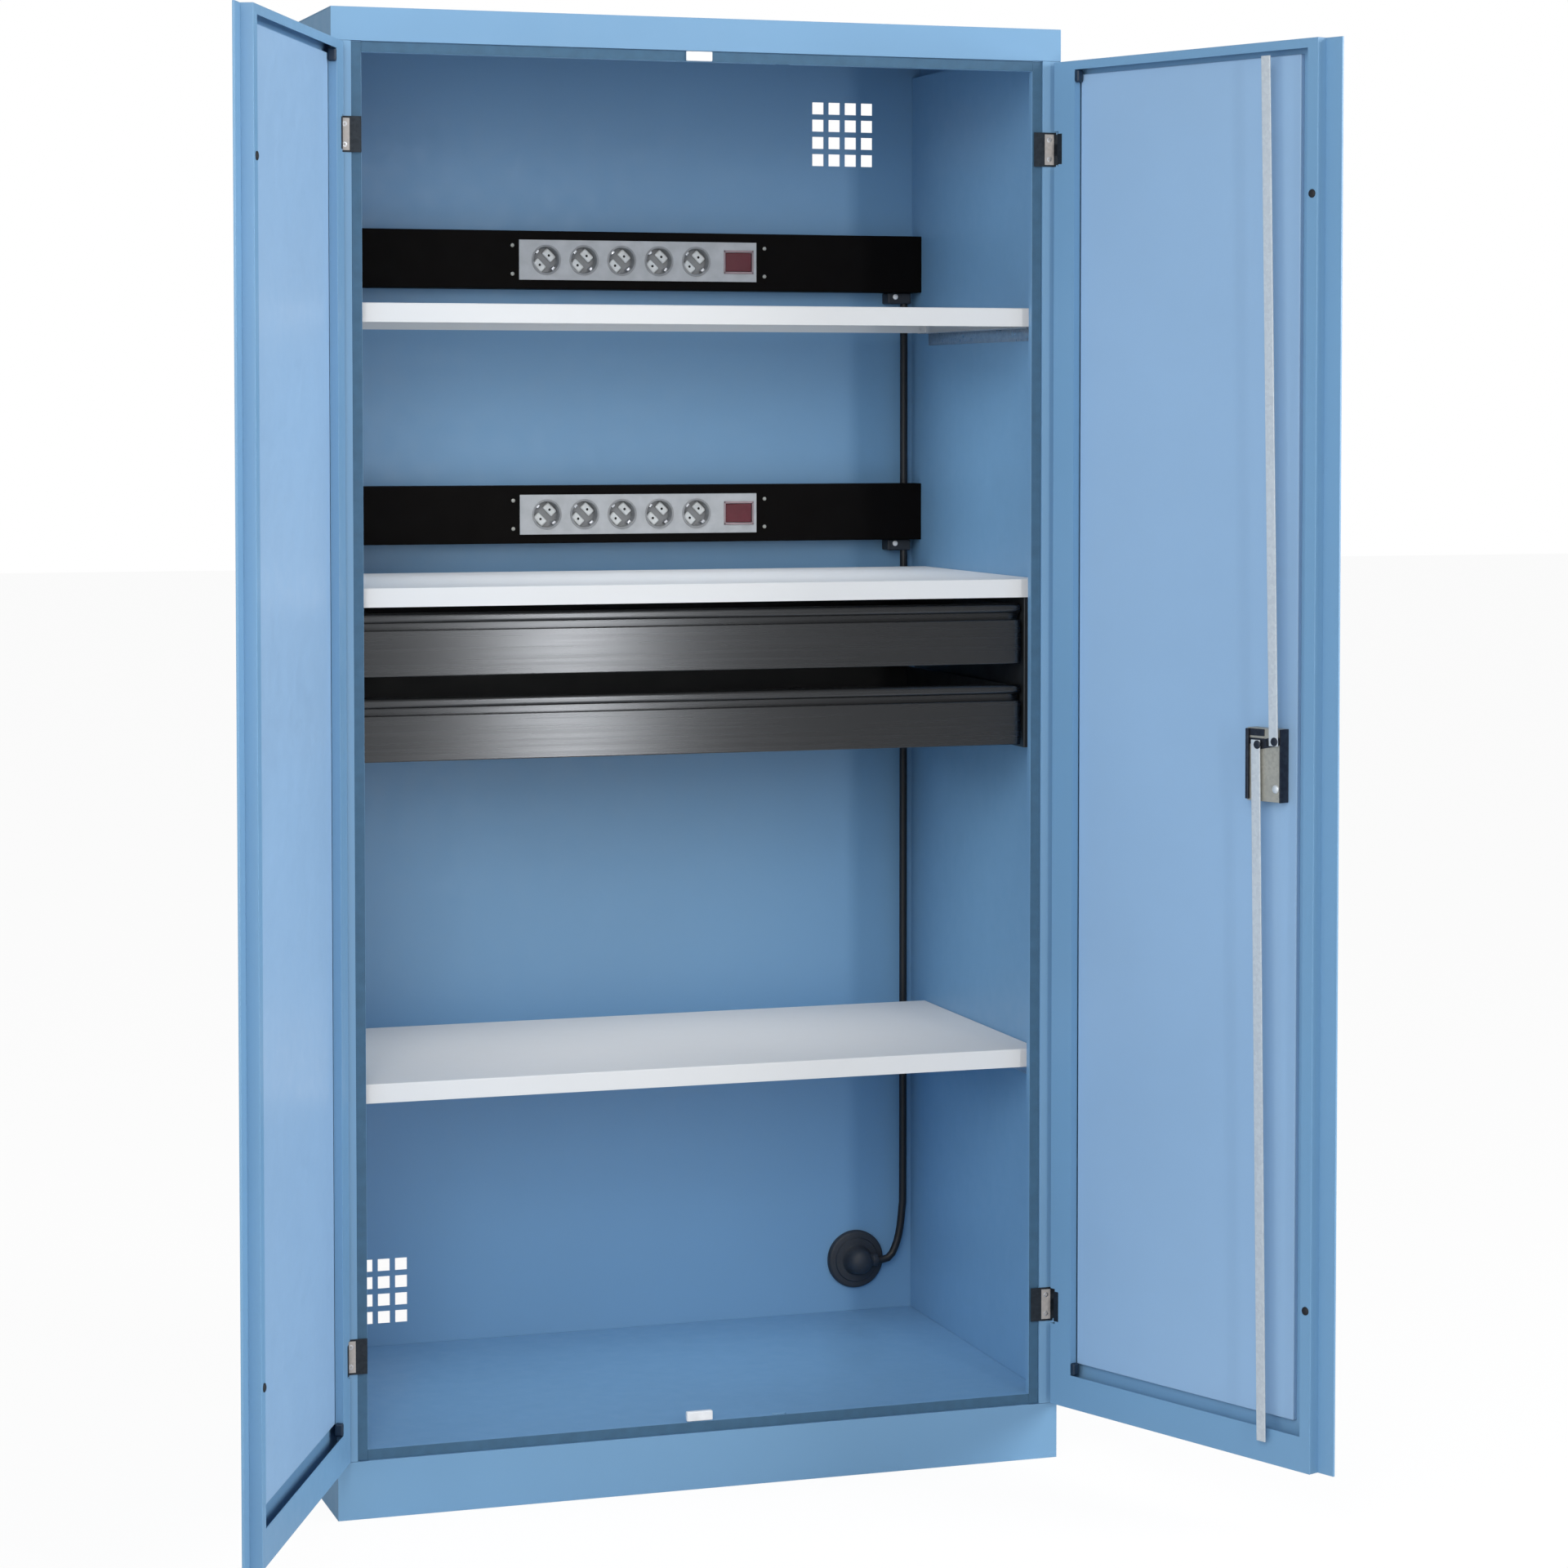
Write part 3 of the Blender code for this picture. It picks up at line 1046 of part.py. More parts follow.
def build_cam(frame):
    """Flat cam plate with the two rivets that hold it to the pinion inside the lock case."""
    near, far = DOOR_INNER_PLANE - CAM_BASE, DOOR_INNER_PLANE - CAM_FACE
    pin_top = DOOR_INNER_PLANE - CAM_PIN_TOP
    across, up = CAM_PIN_ACROSS, CAM_PIN_UP
    steps = SPINDLE_STEPS
    # One rivet lies on the closing side of the spindle, under the upper rod, and one on the hinge side
    heading = math.atan2(up, -across)
    bar = []
    for end in (0, math.pi):
        centre = (CAM_PIN_ORBIT * math.cos(heading + end), CAM_PIN_ORBIT * math.sin(heading + end))
        for k in range(steps // 2 + 1):
            angle = heading + end - math.pi / 2 + math.pi * k / (steps // 2)
            bar.append((centre[0] + CAM_END_RADIUS * math.cos(angle),
                        centre[1] + CAM_END_RADIUS * math.sin(angle)))
    cam = piece("lock_cam", prism(bar, near, far, "y"), "zinc steel", frame)
    hub = SPINDLE_RADIUS + SPINDLE_PLAY / 2
    for end in (0, math.pi):
        centre = (CAM_PIN_ORBIT * math.cos(heading + end), CAM_PIN_ORBIT * math.sin(heading + end))
        join(cam, prism(circle(centre, CAM_PIN_RADIUS, steps), near + CAM_SHEET / 2, pin_top, "y"))
    cut(cam, prism(circle((0, 0), hub, steps), near - OVERRUN, far + OVERRUN, "y"))


def build_key(hinge):
    """Key cylinder with its slot, which turns in the plate and the door."""
    frame = body_frame("key_axis", (-SPINDLE_POSITION, 0, KEY_HEIGHT), 0.0, hinge, "Y")
    outer = DOOR_INNER_PLANE - DOOR_THICKNESS - SEAM - LOCK_PLATE_SHEET - KEY_PROUD
    inner = DOOR_INNER_PLANE - CASE_FACE - LOCK_CASE_SHEET - SEAM
    profile = [(0, -inner), (KEY_RADIUS, -inner), (KEY_RADIUS, -outer), (0, -outer)]
    key = rounded(piece("key_cylinder", turned(profile, OUTLET_STEPS, along((0, -1, 0), (0, 0, 0))),
                        "zinc steel", frame))
    cut(key, box((-KEY_SLOT_WIDTH / 2, KEY_SLOT_WIDTH / 2), (outer - OVERRUN, outer + KEY_SLOT_DEPTH),
                 (-KEY_SLOT_HEIGHT / 2, KEY_SLOT_HEIGHT / 2)))


def build_rod(name, hinge):
    """Flat locking rod whose lock end lies over a rivet of the cam, with a lug if it is too narrow for that."""
    near, far = DOOR_INNER_PLANE - ROD_BASE, DOOR_INNER_PLANE - ROD_FACE
    half, lug = ROD_WIDTH / 2, ROD_LUG_HEIGHT / 2
    if name == "upper":
        side, at_lock, at_end, end = 1, UPPER_ROD_AT["lock"], UPPER_ROD_AT["end"], UPPER_ROD_TOP
    else:
        side, at_lock, at_end, end = -1, LOWER_ROD_AT["lock"], LOWER_ROD_AT["end"], LOWER_ROD_BOTTOM
    pin_s = SPINDLE_POSITION + side * CAM_PIN_ACROSS
    pin_z = SPINDLE_HEIGHT + side * CAM_PIN_UP
    start = pin_z - side * lug
    outline = [(at_lock - side * half, start), (at_lock + side * half, start), (at_end + side * half, end),
               (at_end - side * half, end)]
    lug_edge = pin_s + side * (CAM_PIN_RADIUS + SEAM)
    lug_end = pin_z + side * lug
    if side * lug_edge > side * at_lock + half:
        outline[1:2] = [(lug_edge, start), (lug_edge, lug_end), (at_lock + side * half, lug_end)]
    piece(f"lock_rod_{name}", prism([(-s, z) for s, z in outline], near, far, "y"), "zinc steel", hinge)


def build_drawer(name):
    """Drawer with its front, finger grip and tray, on a frame at the rear of its front."""
    bottom = DRAWER_BOTTOMS[name]
    frame = body_frame(f"drawer_{name}_frame", (0, DRAWER_BACK, bottom))
    face, rear = -DRAWER_FRONT_THICKNESS, 0
    top = DRAWER_FRONT_HEIGHT + GRIP_HEIGHT
    valley = DRAWER_FRONT_HEIGHT + GRIP_VALLEY
    lip = face + GRIP_SETBACK
    section = [(face, 0), (face, DRAWER_FRONT_HEIGHT), (face + GRIP_REACH, DRAWER_FRONT_HEIGHT),
               (face + GRIP_REACH, valley), (lip + GRIP_ROUND, valley), (lip, valley + GRIP_ROUND),
               (lip, top - GRIP_ROUND), (lip + GRIP_ROUND, top), (rear, top), (rear, 0)]
    half = DRAWER_FRONT_WIDTH / 2
    piece(f"drawer_front_{name}", prism(section, -half, half, "x"), "anthracite", frame)
    tray_half = TRAY_WIDTH / 2
    body = piece(f"drawer_tray_{name}",
                 tray((-tray_half, tray_half), (SEAM, SEAM + TRAY_DEPTH), (TRAY_LIFT, TRAY_LIFT + TRAY_HEIGHT),
                      TRAY_SHEET, "z+"), "anthracite", frame)
    runner_outer = CHEEK_FACE - SEAM - SLIDE_SHEET - SLIDE_PLAY
    for side in (-1, 1):
        across = sorted((side * (tray_half - TRAY_SHEET / 2), side * runner_outer))
        join(body, box(across, (SEAM, SEAM + TRAY_DEPTH), (RUNNER_LIFT, RUNNER_LIFT + RUNNER_HEIGHT)))


def build_slides(name):
    """Fixed members of a drawer's slides, open towards the tray."""
    low = DRAWER_BOTTOMS[name] + RUNNER_LIFT - SLIDE_PLAY - SLIDE_SHEET
    high = low + RUNNER_HEIGHT + 2 * (SLIDE_PLAY + SLIDE_SHEET)
    outer = CHEEK_FACE - SEAM
    inner = TRAY_WIDTH / 2 + SLIDE_PLAY
    route = [(inner, high), (outer, high), (outer, low), (inner, low)]
    y_range = (DRAWER_BACK + 2 * SEAM, DRAWER_BACK + SEAM + TRAY_DEPTH)
    for side_name, side in (("left", -1), ("right", 1)):
        outline = mirrored(folded(route, SLIDE_SHEET), side)
        piece(f"drawer_slide_{name}_{side_name}", prism(outline, *y_range, "y"), "zinc steel")


def build_cheeks():
    """Cheeks that carry the slides and the middle shelf, with a filler flange beside the fronts."""
    low = DRAWER_BOTTOMS["lower"] - CHEEK_FOOT
    high = SHELF_BOTTOMS["middle"] - SEAM
    route = [(CHEEK_OUTER, DRAWER_FACE + CHEEK_DEPTH), (CHEEK_FACE, DRAWER_FACE + CHEEK_DEPTH),
             (CHEEK_FACE, DRAWER_FACE), (CHEEK_OUTER, DRAWER_FACE)]
    for side_name, side in (("left", -1), ("right", 1)):
        outline = mirrored(folded(route[::-1], CHEEK_SHEET), side)
        piece(f"drawer_cheek_{side_name}", prism(outline, low, high), "anthracite")


def build_carcass():
    """Everything that stands still."""
    build_roof()
    build_plinth()
    for name, side in (("left", -1), ("right", 1)):
        build_side(name, side)
        build_liner(name, side)
    build_back()
    build_floor()
    build_stops()
    for name in SHELF_BOTTOMS:
        build_shelf(name)
    build_shelf_angles("upper")
    build_shelf_angles("lower")
    build_cheeks()


def build_power():
    """Channels, strips, rockers, clips and cables."""
    for name in CHANNEL_BOTTOMS:
        build_channel(name)
        build_rocker(name, build_strip(name))
        build_clip(name)
    build_cables()
    build_coil(build_outlet())


def main():
    """Build the whole cabinet."""
    for thing in list(bpy.data.objects):
        bpy.data.objects.remove(thing)
    build_carcass()
    build_power()
    build_door("left", -1, LEFT_DOOR_REST)
    build_lock(*build_door("right", 1, RIGHT_DOOR_REST))
    for name in DRAWER_BOTTOMS:
        build_drawer(name)
        build_slides(name)


main()
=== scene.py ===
"""Looks of a battery charging cabinet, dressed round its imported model.

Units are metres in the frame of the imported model: the origin is on the floor under the middle of the
front, +Z is up and +Y runs to the back. The doors stand open at rest.
"""

import logging
import math
from dataclasses import dataclass, field
from enum import Enum
from functools import lru_cache
from typing import Iterable, Sequence

import bmesh
import bpy
from mathutils import Matrix, Vector


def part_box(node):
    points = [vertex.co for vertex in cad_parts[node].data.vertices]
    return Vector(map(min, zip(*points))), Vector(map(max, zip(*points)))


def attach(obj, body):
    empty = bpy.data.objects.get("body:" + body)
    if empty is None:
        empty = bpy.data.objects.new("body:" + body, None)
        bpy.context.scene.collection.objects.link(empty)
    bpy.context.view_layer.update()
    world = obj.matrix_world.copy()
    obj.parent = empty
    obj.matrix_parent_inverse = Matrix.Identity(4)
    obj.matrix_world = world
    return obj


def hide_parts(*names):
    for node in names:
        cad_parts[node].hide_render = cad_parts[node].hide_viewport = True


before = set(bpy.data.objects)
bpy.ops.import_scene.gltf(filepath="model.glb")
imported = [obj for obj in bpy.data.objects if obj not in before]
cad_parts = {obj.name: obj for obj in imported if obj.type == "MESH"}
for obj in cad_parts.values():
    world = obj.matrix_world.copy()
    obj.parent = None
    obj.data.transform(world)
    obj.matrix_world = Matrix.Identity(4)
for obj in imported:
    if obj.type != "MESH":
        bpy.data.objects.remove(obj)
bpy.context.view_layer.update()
LOG = logging.getLogger("charging_cabinet")

Point = tuple[float, float, float]
Span = tuple[float, float]
Profile = tuple[Span, ...]
Shape = bmesh.types.BMesh
Socket = bpy.types.NodeSocket

# Steps of a full turn
ROUND_STEPS = 48
SMALL_ROUND_STEPS = 24

# Past SHARP_ANGLE an edge isn't shaded smooth; past one of the next four an edge of a node's copy is rounded
SHARP_ANGLE = math.radians(35)
FOLD_ANGLE = math.radians(30)
BLUNT_ANGLE = math.radians(50)
PLATE_ANGLE = math.radians(60)
FINE_ANGLE = math.radians(20)

# How a node's copy is cleaned: faces this close to flat become one, and points this close are merged
FLAT_ANGLE = math.radians(0.5)
MERGE_REACH = 0.00002
TINY_EDGE = 0.000002

# Least width of faces beside a rounded fold, the gap between two pieces, how far a dressing stands proud
SHEET_LEAST = 0.0025
SEAM = 0.0003
PROUD = 0.0001


class Side(Enum):
    """A side of the cabinet, with the sign of its x."""

    LEFT = -1
    RIGHT = 1

    @property
    def word(self) -> str:
        """The side's name as the nodes spell it."""
        return self.name.lower()


class Axis(Enum):
    """A direction that a turned piece can point in."""

    X = (1.0, 0.0, 0.0)
    FRONT = (0.0, -1.0, 0.0)
    BACK = (0.0, 1.0, 0.0)

    @property
    def turn(self) -> Matrix:
        """The matrix that turns +Z to the direction."""
        return Vector(self.value).to_track_quat("Z", "Y").to_matrix().to_4x4()


# Materials


class NodeBench:
    """Lays out the nodes of one material."""

    def __init__(self, name: str) -> None:
        """Start a node tree with its shader.

        Args:
            name: name of the material.
        """
        self.material = bpy.data.materials.new(name)
        self.material.use_nodes = True
        self.tree = self.material.node_tree
        self.shader = self.tree.nodes["Principled BSDF"]
        self.coordinates = self.node("ShaderNodeTexCoord").outputs["Object"]

    def node(self, kind: str, **values: float | Point) -> bpy.types.Node:
        """Add a node and set some of its sockets.

        Args:
            kind: Blender's name of the node.
            values: values by socket; underscores in a name stand for spaces.

        Returns:
            The node.
        """
        node = self.tree.nodes.new(kind)
        for name, value in values.items():
            node.inputs[name.replace("_", " ")].default_value = value
        return node

    def set(self, **values: float) -> None:
        """Set sockets of the shader; underscores in a name stand for spaces."""
        for name, value in values.items():
            self.shader.inputs[name.replace("_", " ")].default_value = value

    def link(self, source: Socket, socket: str) -> None:
        """Link a source to a socket of the shader."""
        self.tree.links.new(source, self.shader.inputs[socket])

    def stretched(self, scale: Point) -> Socket:
        """Stretch the object's coordinates.

        Args:
            scale: factor along each axis.

        Returns:
            The vector socket.
        """
        mapping = self.node("ShaderNodeMapping", Scale=scale)
        self.tree.links.new(self.coordinates, mapping.inputs["Vector"])
        return mapping.outputs["Vector"]

    def noise(self, scale: float, detail: float = 2.0, roughness: float = 0.5,
              vector: Socket | None = None) -> Socket:
        """Add a noise texture.

        Args:
            scale: features per metre.
            detail: octaves.
            roughness: weight of the finer octaves.
            vector: coordinates, or None for the object's own.

        Returns:
            The texture's value socket.
        """
        node = self.node("ShaderNodeTexNoise", Scale=scale, Detail=detail, Roughness=roughness)
        self.tree.links.new(vector or self.coordinates, node.inputs["Vector"])
        return node.outputs["Fac"]

    def cells(self, scale: float) -> Socket:
        """Give each cell of a cell pattern a value of its own.

        Args:
            scale: cells per metre.

        Returns:
            The value socket.
        """
        pattern = self.node("ShaderNodeTexVoronoi", Scale=scale)
        self.tree.links.new(self.coordinates, pattern.inputs["Vector"])
        split = self.node("ShaderNodeSeparateColor")
        self.tree.links.new(pattern.outputs["Color"], split.inputs["Color"])
        return split.outputs["Red"]

    def ranged(self, value: Socket, low: float, high: float, source: Span = (0.3, 0.7)) -> Socket:
        """Map a texture's value to a range.

        Args:
            value: the texture.
            low: result at the source's low end.
            high: result at the source's high end.
            source: the part of the texture's range that is used.

        Returns:
            The mapped value.
        """
        node = self.node("ShaderNodeMapRange", From_Min=source[0], From_Max=source[1], To_Min=low,
                         To_Max=high)
        self.tree.links.new(value, node.inputs["Value"])
        return node.outputs["Result"]

    def paint(self, factor: Socket, first: Sequence[float], second: Sequence[float]) -> None:
        """Colour the shader between two colours.

        Args:
            factor: share of the second colour.
            first: the first colour.
            second: the second colour.
        """
        node = self.node("ShaderNodeMix")
        node.data_type = "RGBA"
        self.tree.links.new(factor, node.inputs["Factor"])
        node.inputs["A"].default_value = (*first, 1.0)
        node.inputs["B"].default_value = (*second, 1.0)
        self.link(node.outputs["Result"], "Base Color")

    def cloud(self, texture: Socket, colour: Point, share: float) -> None:
        """Let a colour wander by a share of its lightness to both sides, by a texture."""
        darker, lighter = (tuple(channel * (1 + sign * share) for channel in colour) for sign in (-1, 1))
        self.paint(texture, darker, lighter)

    def roughen(self, texture: Socket, low: float, high: float) -> None:
        """Let the roughness wander between two values, by a texture."""
        self.link(self.ranged(texture, low, high), "Roughness")

    def bump(self, height: Socket, strength: float, distance: float, before: Socket | None = None) -> Socket:
        """Add a bump layer.

        Args:
            height: the height texture.
            strength: share of the layer that shows.
            distance: depth of the layer in metres.
            before: a layer under this one.

        Returns:
            The normal socket.
        """
        node = self.node("ShaderNodeBump", Strength=strength, Distance=distance)
        self.tree.links.new(height, node.inputs["Height"])
        if before:
            self.tree.links.new(before, node.inputs["Normal"])
        return node.outputs["Normal"]


@dataclass(frozen=True)
class PowderCoat:
    """Baked powder paint: satin, with a fine orange peel and slight clouding.

    Attributes:
        name: name of the material.
        colour: the paint's colour.
        roughness: its middle roughness.
        clouding: how far its shade wanders.
        shine: strength of its gloss, 0.5 for plain paint.
        cloud_scale: features per metre of the clouding.
        haze_scale: features per metre of the roughness.
        peel: features per metre and depth of the orange peel.
        dust: features per metre and depth of the powder's own grain.
    """

    name: str
    colour: Point
    roughness: float = 0.42
    clouding: float = 0.035
    shine: float = 0.5
    cloud_scale: float = 2.3
    haze_scale: float = 38.0
    peel: Span = (520.0, 0.00012)
    dust: Span = (1900.0, 0.00004)

    @lru_cache
    def material(self) -> bpy.types.Material:
        """Build the material once.

        Returns:
            The material.
        """
        bench = NodeBench(self.name)
        bench.cloud(bench.ranged(bench.noise(self.cloud_scale, 3.0), 0.0, 1.0), self.colour, self.clouding)
        bench.roughen(bench.noise(self.haze_scale, 3.0), self.roughness - 0.05, self.roughness + 0.06)
        peel = bench.bump(bench.noise(self.peel[0], 2.0), 0.30, self.peel[1])
        bench.link(bench.bump(bench.noise(self.dust[0], 1.0), 0.25, self.dust[1], peel), "Normal")
        bench.set(IOR=1.5, Specular_IOR_Level=self.shine, Coat_Weight=0.08 * self.shine, Coat_Roughness=0.3)
        return bench.material


@dataclass(frozen=True)
class Plating:
    """Zinc plated or passivated steel, with a faint spangle.

    Attributes:
        name: name of the material.
        colour: the plating's colour.
        tint: the colour that the spangle wanders to.
        roughness: its middle roughness.
        metallic: share of metal.
        spangle_scale: crystals per metre.
        haze_scale: features per metre of the roughness.
        grain: features per metre and depth of the grain.
    """

    name: str
    colour: Point
    tint: Point
    roughness: float = 0.34
    metallic: float = 1.0
    spangle_scale: float = 240.0
    haze_scale: float = 150.0
    grain: Span = (900.0, 0.00005)

    @lru_cache
    def material(self) -> bpy.types.Material:
        """Build the material once.

        Returns:
            The material.
        """
        bench = NodeBench(self.name)
        spangle = bench.ranged(bench.cells(self.spangle_scale), 0.0, 1.0, (0.0, 1.0))
        bench.paint(spangle, self.colour, self.tint)
        bench.roughen(bench.noise(self.haze_scale, 3.0), self.roughness - 0.08, self.roughness + 0.10)
        bench.link(bench.bump(bench.noise(self.grain[0], 3.0), 0.25, self.grain[1]), "Normal")
        bench.set(Metallic=self.metallic)
        return bench.material


@dataclass(frozen=True)
class BrushedMetal:
    """Dark brushed metal with streaks along the cabinet's width.

    Attributes:
        name: name of the material.
        colour: the metal's colour.
        streak: the colour of its lighter streaks.
        roughness: its middle roughness.
        anisotropy: how far its highlights stretch across the streaks.
        fine_scale: features per metre of the fine streaks, along each axis.
        broad_scale: features per metre of the broad streaks, along each axis.
        depth: depth of the streaks.
    """

    name: str
    colour: Point
    streak: Point
    roughness: float = 0.27
    anisotropy: float = 0.96
    fine_scale: Point = (5.0, 700.0, 1600.0)
    broad_scale: Point = (2.0, 90.0, 160.0)
    depth: float = 0.00002

    @lru_cache
    def material(self) -> bpy.types.Material:
        """Build the material once.

        Returns:
            The material.
        """
        bench = NodeBench(self.name)
        fine = bench.noise(1.0, 3.0, 0.6, bench.stretched(self.fine_scale))
        broad = bench.noise(1.0, 2.0, 0.5, bench.stretched(self.broad_scale))
        bench.paint(bench.ranged(fine, 0.0, 1.0), self.colour, self.streak)
        bench.roughen(broad, self.roughness - 0.02, self.roughness + 0.02)
        bench.link(bench.bump(fine, 0.012, self.depth), "Normal")
        tangent = bench.node("ShaderNodeTangent")
        tangent.direction_type = "UV_MAP"
        tangent.uv_map = "Brushing"
        bench.link(tangent.outputs["Tangent"], "Tangent")
        bench.set(Metallic=1.0, Anisotropic=self.anisotropy)
        return bench.material


@dataclass(frozen=True)
class Moulded:
    """Moulded plastic or rubber with a fine spark-eroded grain.

    Attributes:
        name: name of the material.
        colour: the plastic's colour.
        roughness: its middle roughness.
        grain: features of the grain per metre.
        depth: depth of the grain.
        coat: weight of a clear gloss over it.
        clouding: how far its shade wanders.
        cloud_scale: features per metre of the clouding.
        haze_scale: features per metre of the roughness.
    """

    name: str
    colour: Point
    roughness: float = 0.4
    grain: float = 1400.0
    depth: float = 0.00005
    coat: float = 0.0
    clouding: float = 0.08
    cloud_scale: float = 60.0
    haze_scale: float = 220.0

    @lru_cache
    def material(self) -> bpy.types.Material:
        """Build the material once.

        Returns:
            The material.
        """
        bench = NodeBench(self.name)
        bench.cloud(bench.ranged(bench.noise(self.cloud_scale, 3.0), 0.0, 1.0), self.colour, self.clouding)
        bench.roughen(bench.noise(self.haze_scale, 2.0), self.roughness - 0.06, self.roughness + 0.06)
        bench.link(bench.bump(bench.noise(self.grain, 2.0), 0.35, self.depth), "Normal")
        bench.set(IOR=1.47, Coat_Weight=self.coat, Coat_Roughness=0.08)
        return bench.material


@dataclass(frozen=True)
class WovenTape:
    """Woven strap of hook and loop tape.

    Attributes:
        name: name of the material.
        colour: the tape's colour.
        weave_scale: threads per metre.
        depth: depth of the weave.
    """

    name: str
    colour: Point
    weave_scale: float = 260.0
    depth: float = 0.0003

    @lru_cache
    def material(self) -> bpy.types.Material:
        """Build the material once.

        Returns:
            The material.
        """
        bench = NodeBench(self.name)
        wave = bench.node("ShaderNodeTexWave", Scale=self.weave_scale, Distortion=1.5)
        bench.tree.links.new(bench.coordinates, wave.inputs["Vector"])
        weave = wave.outputs["Fac"]
        bench.cloud(weave, self.colour, 0.35)
        bench.roughen(bench.noise(800.0), 0.75, 0.95)
        bench.link(bench.bump(weave, 0.6, self.depth), "Normal")
        bench.set(Sheen_Weight=0.3)
        return bench.material


Finish = PowderCoat | Plating | BrushedMetal | Moulded | WovenTape

BODY_BLUE = PowderCoat("body blue powder coat", (0.172, 0.345, 0.545))
# Painted light: the body's blue lightened, so that the door liners look more brightly lit than the carcass
LIT_DOOR_BLUE = PowderCoat("door blue powder coat", (0.295, 0.470, 0.690))
SHELF_WHITE = PowderCoat("pale shelf powder coat", (0.760, 0.768, 0.772), 0.60, 0.012, 0.2)
CHANNEL_BLACK = PowderCoat("black powder coat", (0.0024, 0.0017, 0.0014), 0.55, 0.15, 0.06)
ANTHRACITE = BrushedMetal("brushed anthracite", (0.088, 0.091, 0.096), (0.100, 0.104, 0.110))
DRAWER_STEEL = PowderCoat("anthracite powder coat", (0.020, 0.022, 0.025), 0.38, 0.10)
ZINC = Plating("zinc plating", (0.640, 0.655, 0.680), (0.520, 0.540, 0.580))
ROD_ZINC = Plating("bright rod plating", (0.680, 0.730, 0.760), (0.600, 0.650, 0.690), 0.45, 0.35)
LOCK_PLATING = Plating("dull yellowish plating", (0.410, 0.405, 0.360), (0.340, 0.340, 0.305), 0.50, 0.25)
LOCK_DARK = Plating("dark lock plating", (0.050, 0.058, 0.075), (0.035, 0.040, 0.055), 0.45, 0.80)
HINGE_PALE = Plating("pale hinge plating", (0.480, 0.450, 0.430), (0.420, 0.400, 0.385), 0.60, 0.20)
HINGE_DARK = Plating("burnished hinge steel", (0.020, 0.028, 0.038), (0.012, 0.018, 0.026), 0.50, 0.45)
STRIP_GREY = Moulded("light grey strip plastic", (0.440, 0.450, 0.460), 0.38)
SOCKET_GREY = Moulded("mid grey socket plastic", (0.270, 0.275, 0.280), 0.42)
SHUTTER_WHITE = Moulded("pale shutter plastic", (0.800, 0.820, 0.815), 0.30)
# Painted shade: black for the discs that stand in for the dark depth of the sockets' pin holes
HOLE_SHADE_BLACK = Moulded("painted shade of a pin hole", (0.004, 0.004, 0.004), 0.60)
SWITCH_RED = Moulded("dark red switch plastic", (0.105, 0.007, 0.016), 0.48)
SWITCH_ROSE = Moulded("rosy switch frame plastic", (0.330, 0.240, 0.255), 0.36)
STOP_WHITE = Moulded("white stop plastic", (0.860, 0.870, 0.880), 0.36)
BLACK_PLASTIC = Moulded("black handle plastic", (0.010, 0.010, 0.011), 0.38, coat=0.1)
RUBBER = Moulded("dark grommet rubber", (0.024, 0.028, 0.036), 0.55, 700.0, 0.00008)
CLIP_NAVY = Moulded("navy clip plastic", (0.010, 0.028, 0.058), 0.45)
# Painted shade: dark blue strips laid on the lips round the opening, so that the recessed lips look shaded
SHADE_STRIP_BLUE = Moulded("blue strip of painted shade", (0.042, 0.118, 0.205), 0.60, 700.0, 0.00008)
BUFFER_BLACK = Moulded("black buffer rubber", (0.008, 0.009, 0.012), 0.60, 700.0, 0.00008)
SHEATH = Moulded("black cable sheath", (0.009, 0.009, 0.010), 0.46, 900.0, 0.00006)
TIE_TAPE = WovenTape("black hook and loop tape", (0.018, 0.018, 0.020))


# Mesh tools


def round_edges(shape: Shape, edges: Sequence[bmesh.types.BMEdge], radius: float, segments: int) -> None:
    """Round some edges of a shape."""
    bmesh.ops.bevel(shape, geom=edges, offset=radius, offset_type="OFFSET", segments=segments, profile=0.5,
                    affect="EDGES", clamp_overlap=True, material=-1)


def box_shape(low: Sequence[float], high: Sequence[float], radius: float, segments: int = 3) -> Shape:
    """Make a block with rounded edges.

    Args:
        low: lowest corner.
        high: highest corner.
        radius: radius of all its edges.
        segments: steps of the rounding.

    Returns:
        The shape.
    """
    shape = bmesh.new()
    bmesh.ops.create_cube(shape, size=1.0)
    size = Vector(high) - Vector(low)
    bmesh.ops.scale(shape, vec=size, verts=shape.verts)
    bmesh.ops.translate(shape, vec=Vector(low) + size / 2, verts=shape.verts)
    round_edges(shape, shape.edges[:], radius, segments)
    return shape


def turned_shape(profile: Iterable[Span], centre: Sequence[float], axis: Axis = Axis.FRONT,
                 steps: int = SMALL_ROUND_STEPS) -> Shape:
    """Spin a profile round an axis.

    Args:
        profile: (radius, height) points, which start and end on the axis or meet in a closed loop.
        centre: place of height 0.
        axis: direction of the heights.
        steps: steps of the full turn.

    Returns:
        The shape.
    """
    shape = bmesh.new()
    verts = [shape.verts.new((radius, 0, height)) for radius, height in profile]
    edges = [shape.edges.new(pair) for pair in zip(verts, verts[1:])]
    bmesh.ops.spin(shape, geom=verts + edges, cent=(0, 0, 0), axis=(0, 0, 1), dvec=(0, 0, 0), angle=math.tau,
                   steps=steps, use_merge=True, use_duplicate=False)
    bmesh.ops.remove_doubles(shape, verts=shape.verts, dist=1e-7)
    bmesh.ops.transform(shape, matrix=Matrix.Translation(Vector(centre)) @ axis.turn, verts=shape.verts)
    return shape


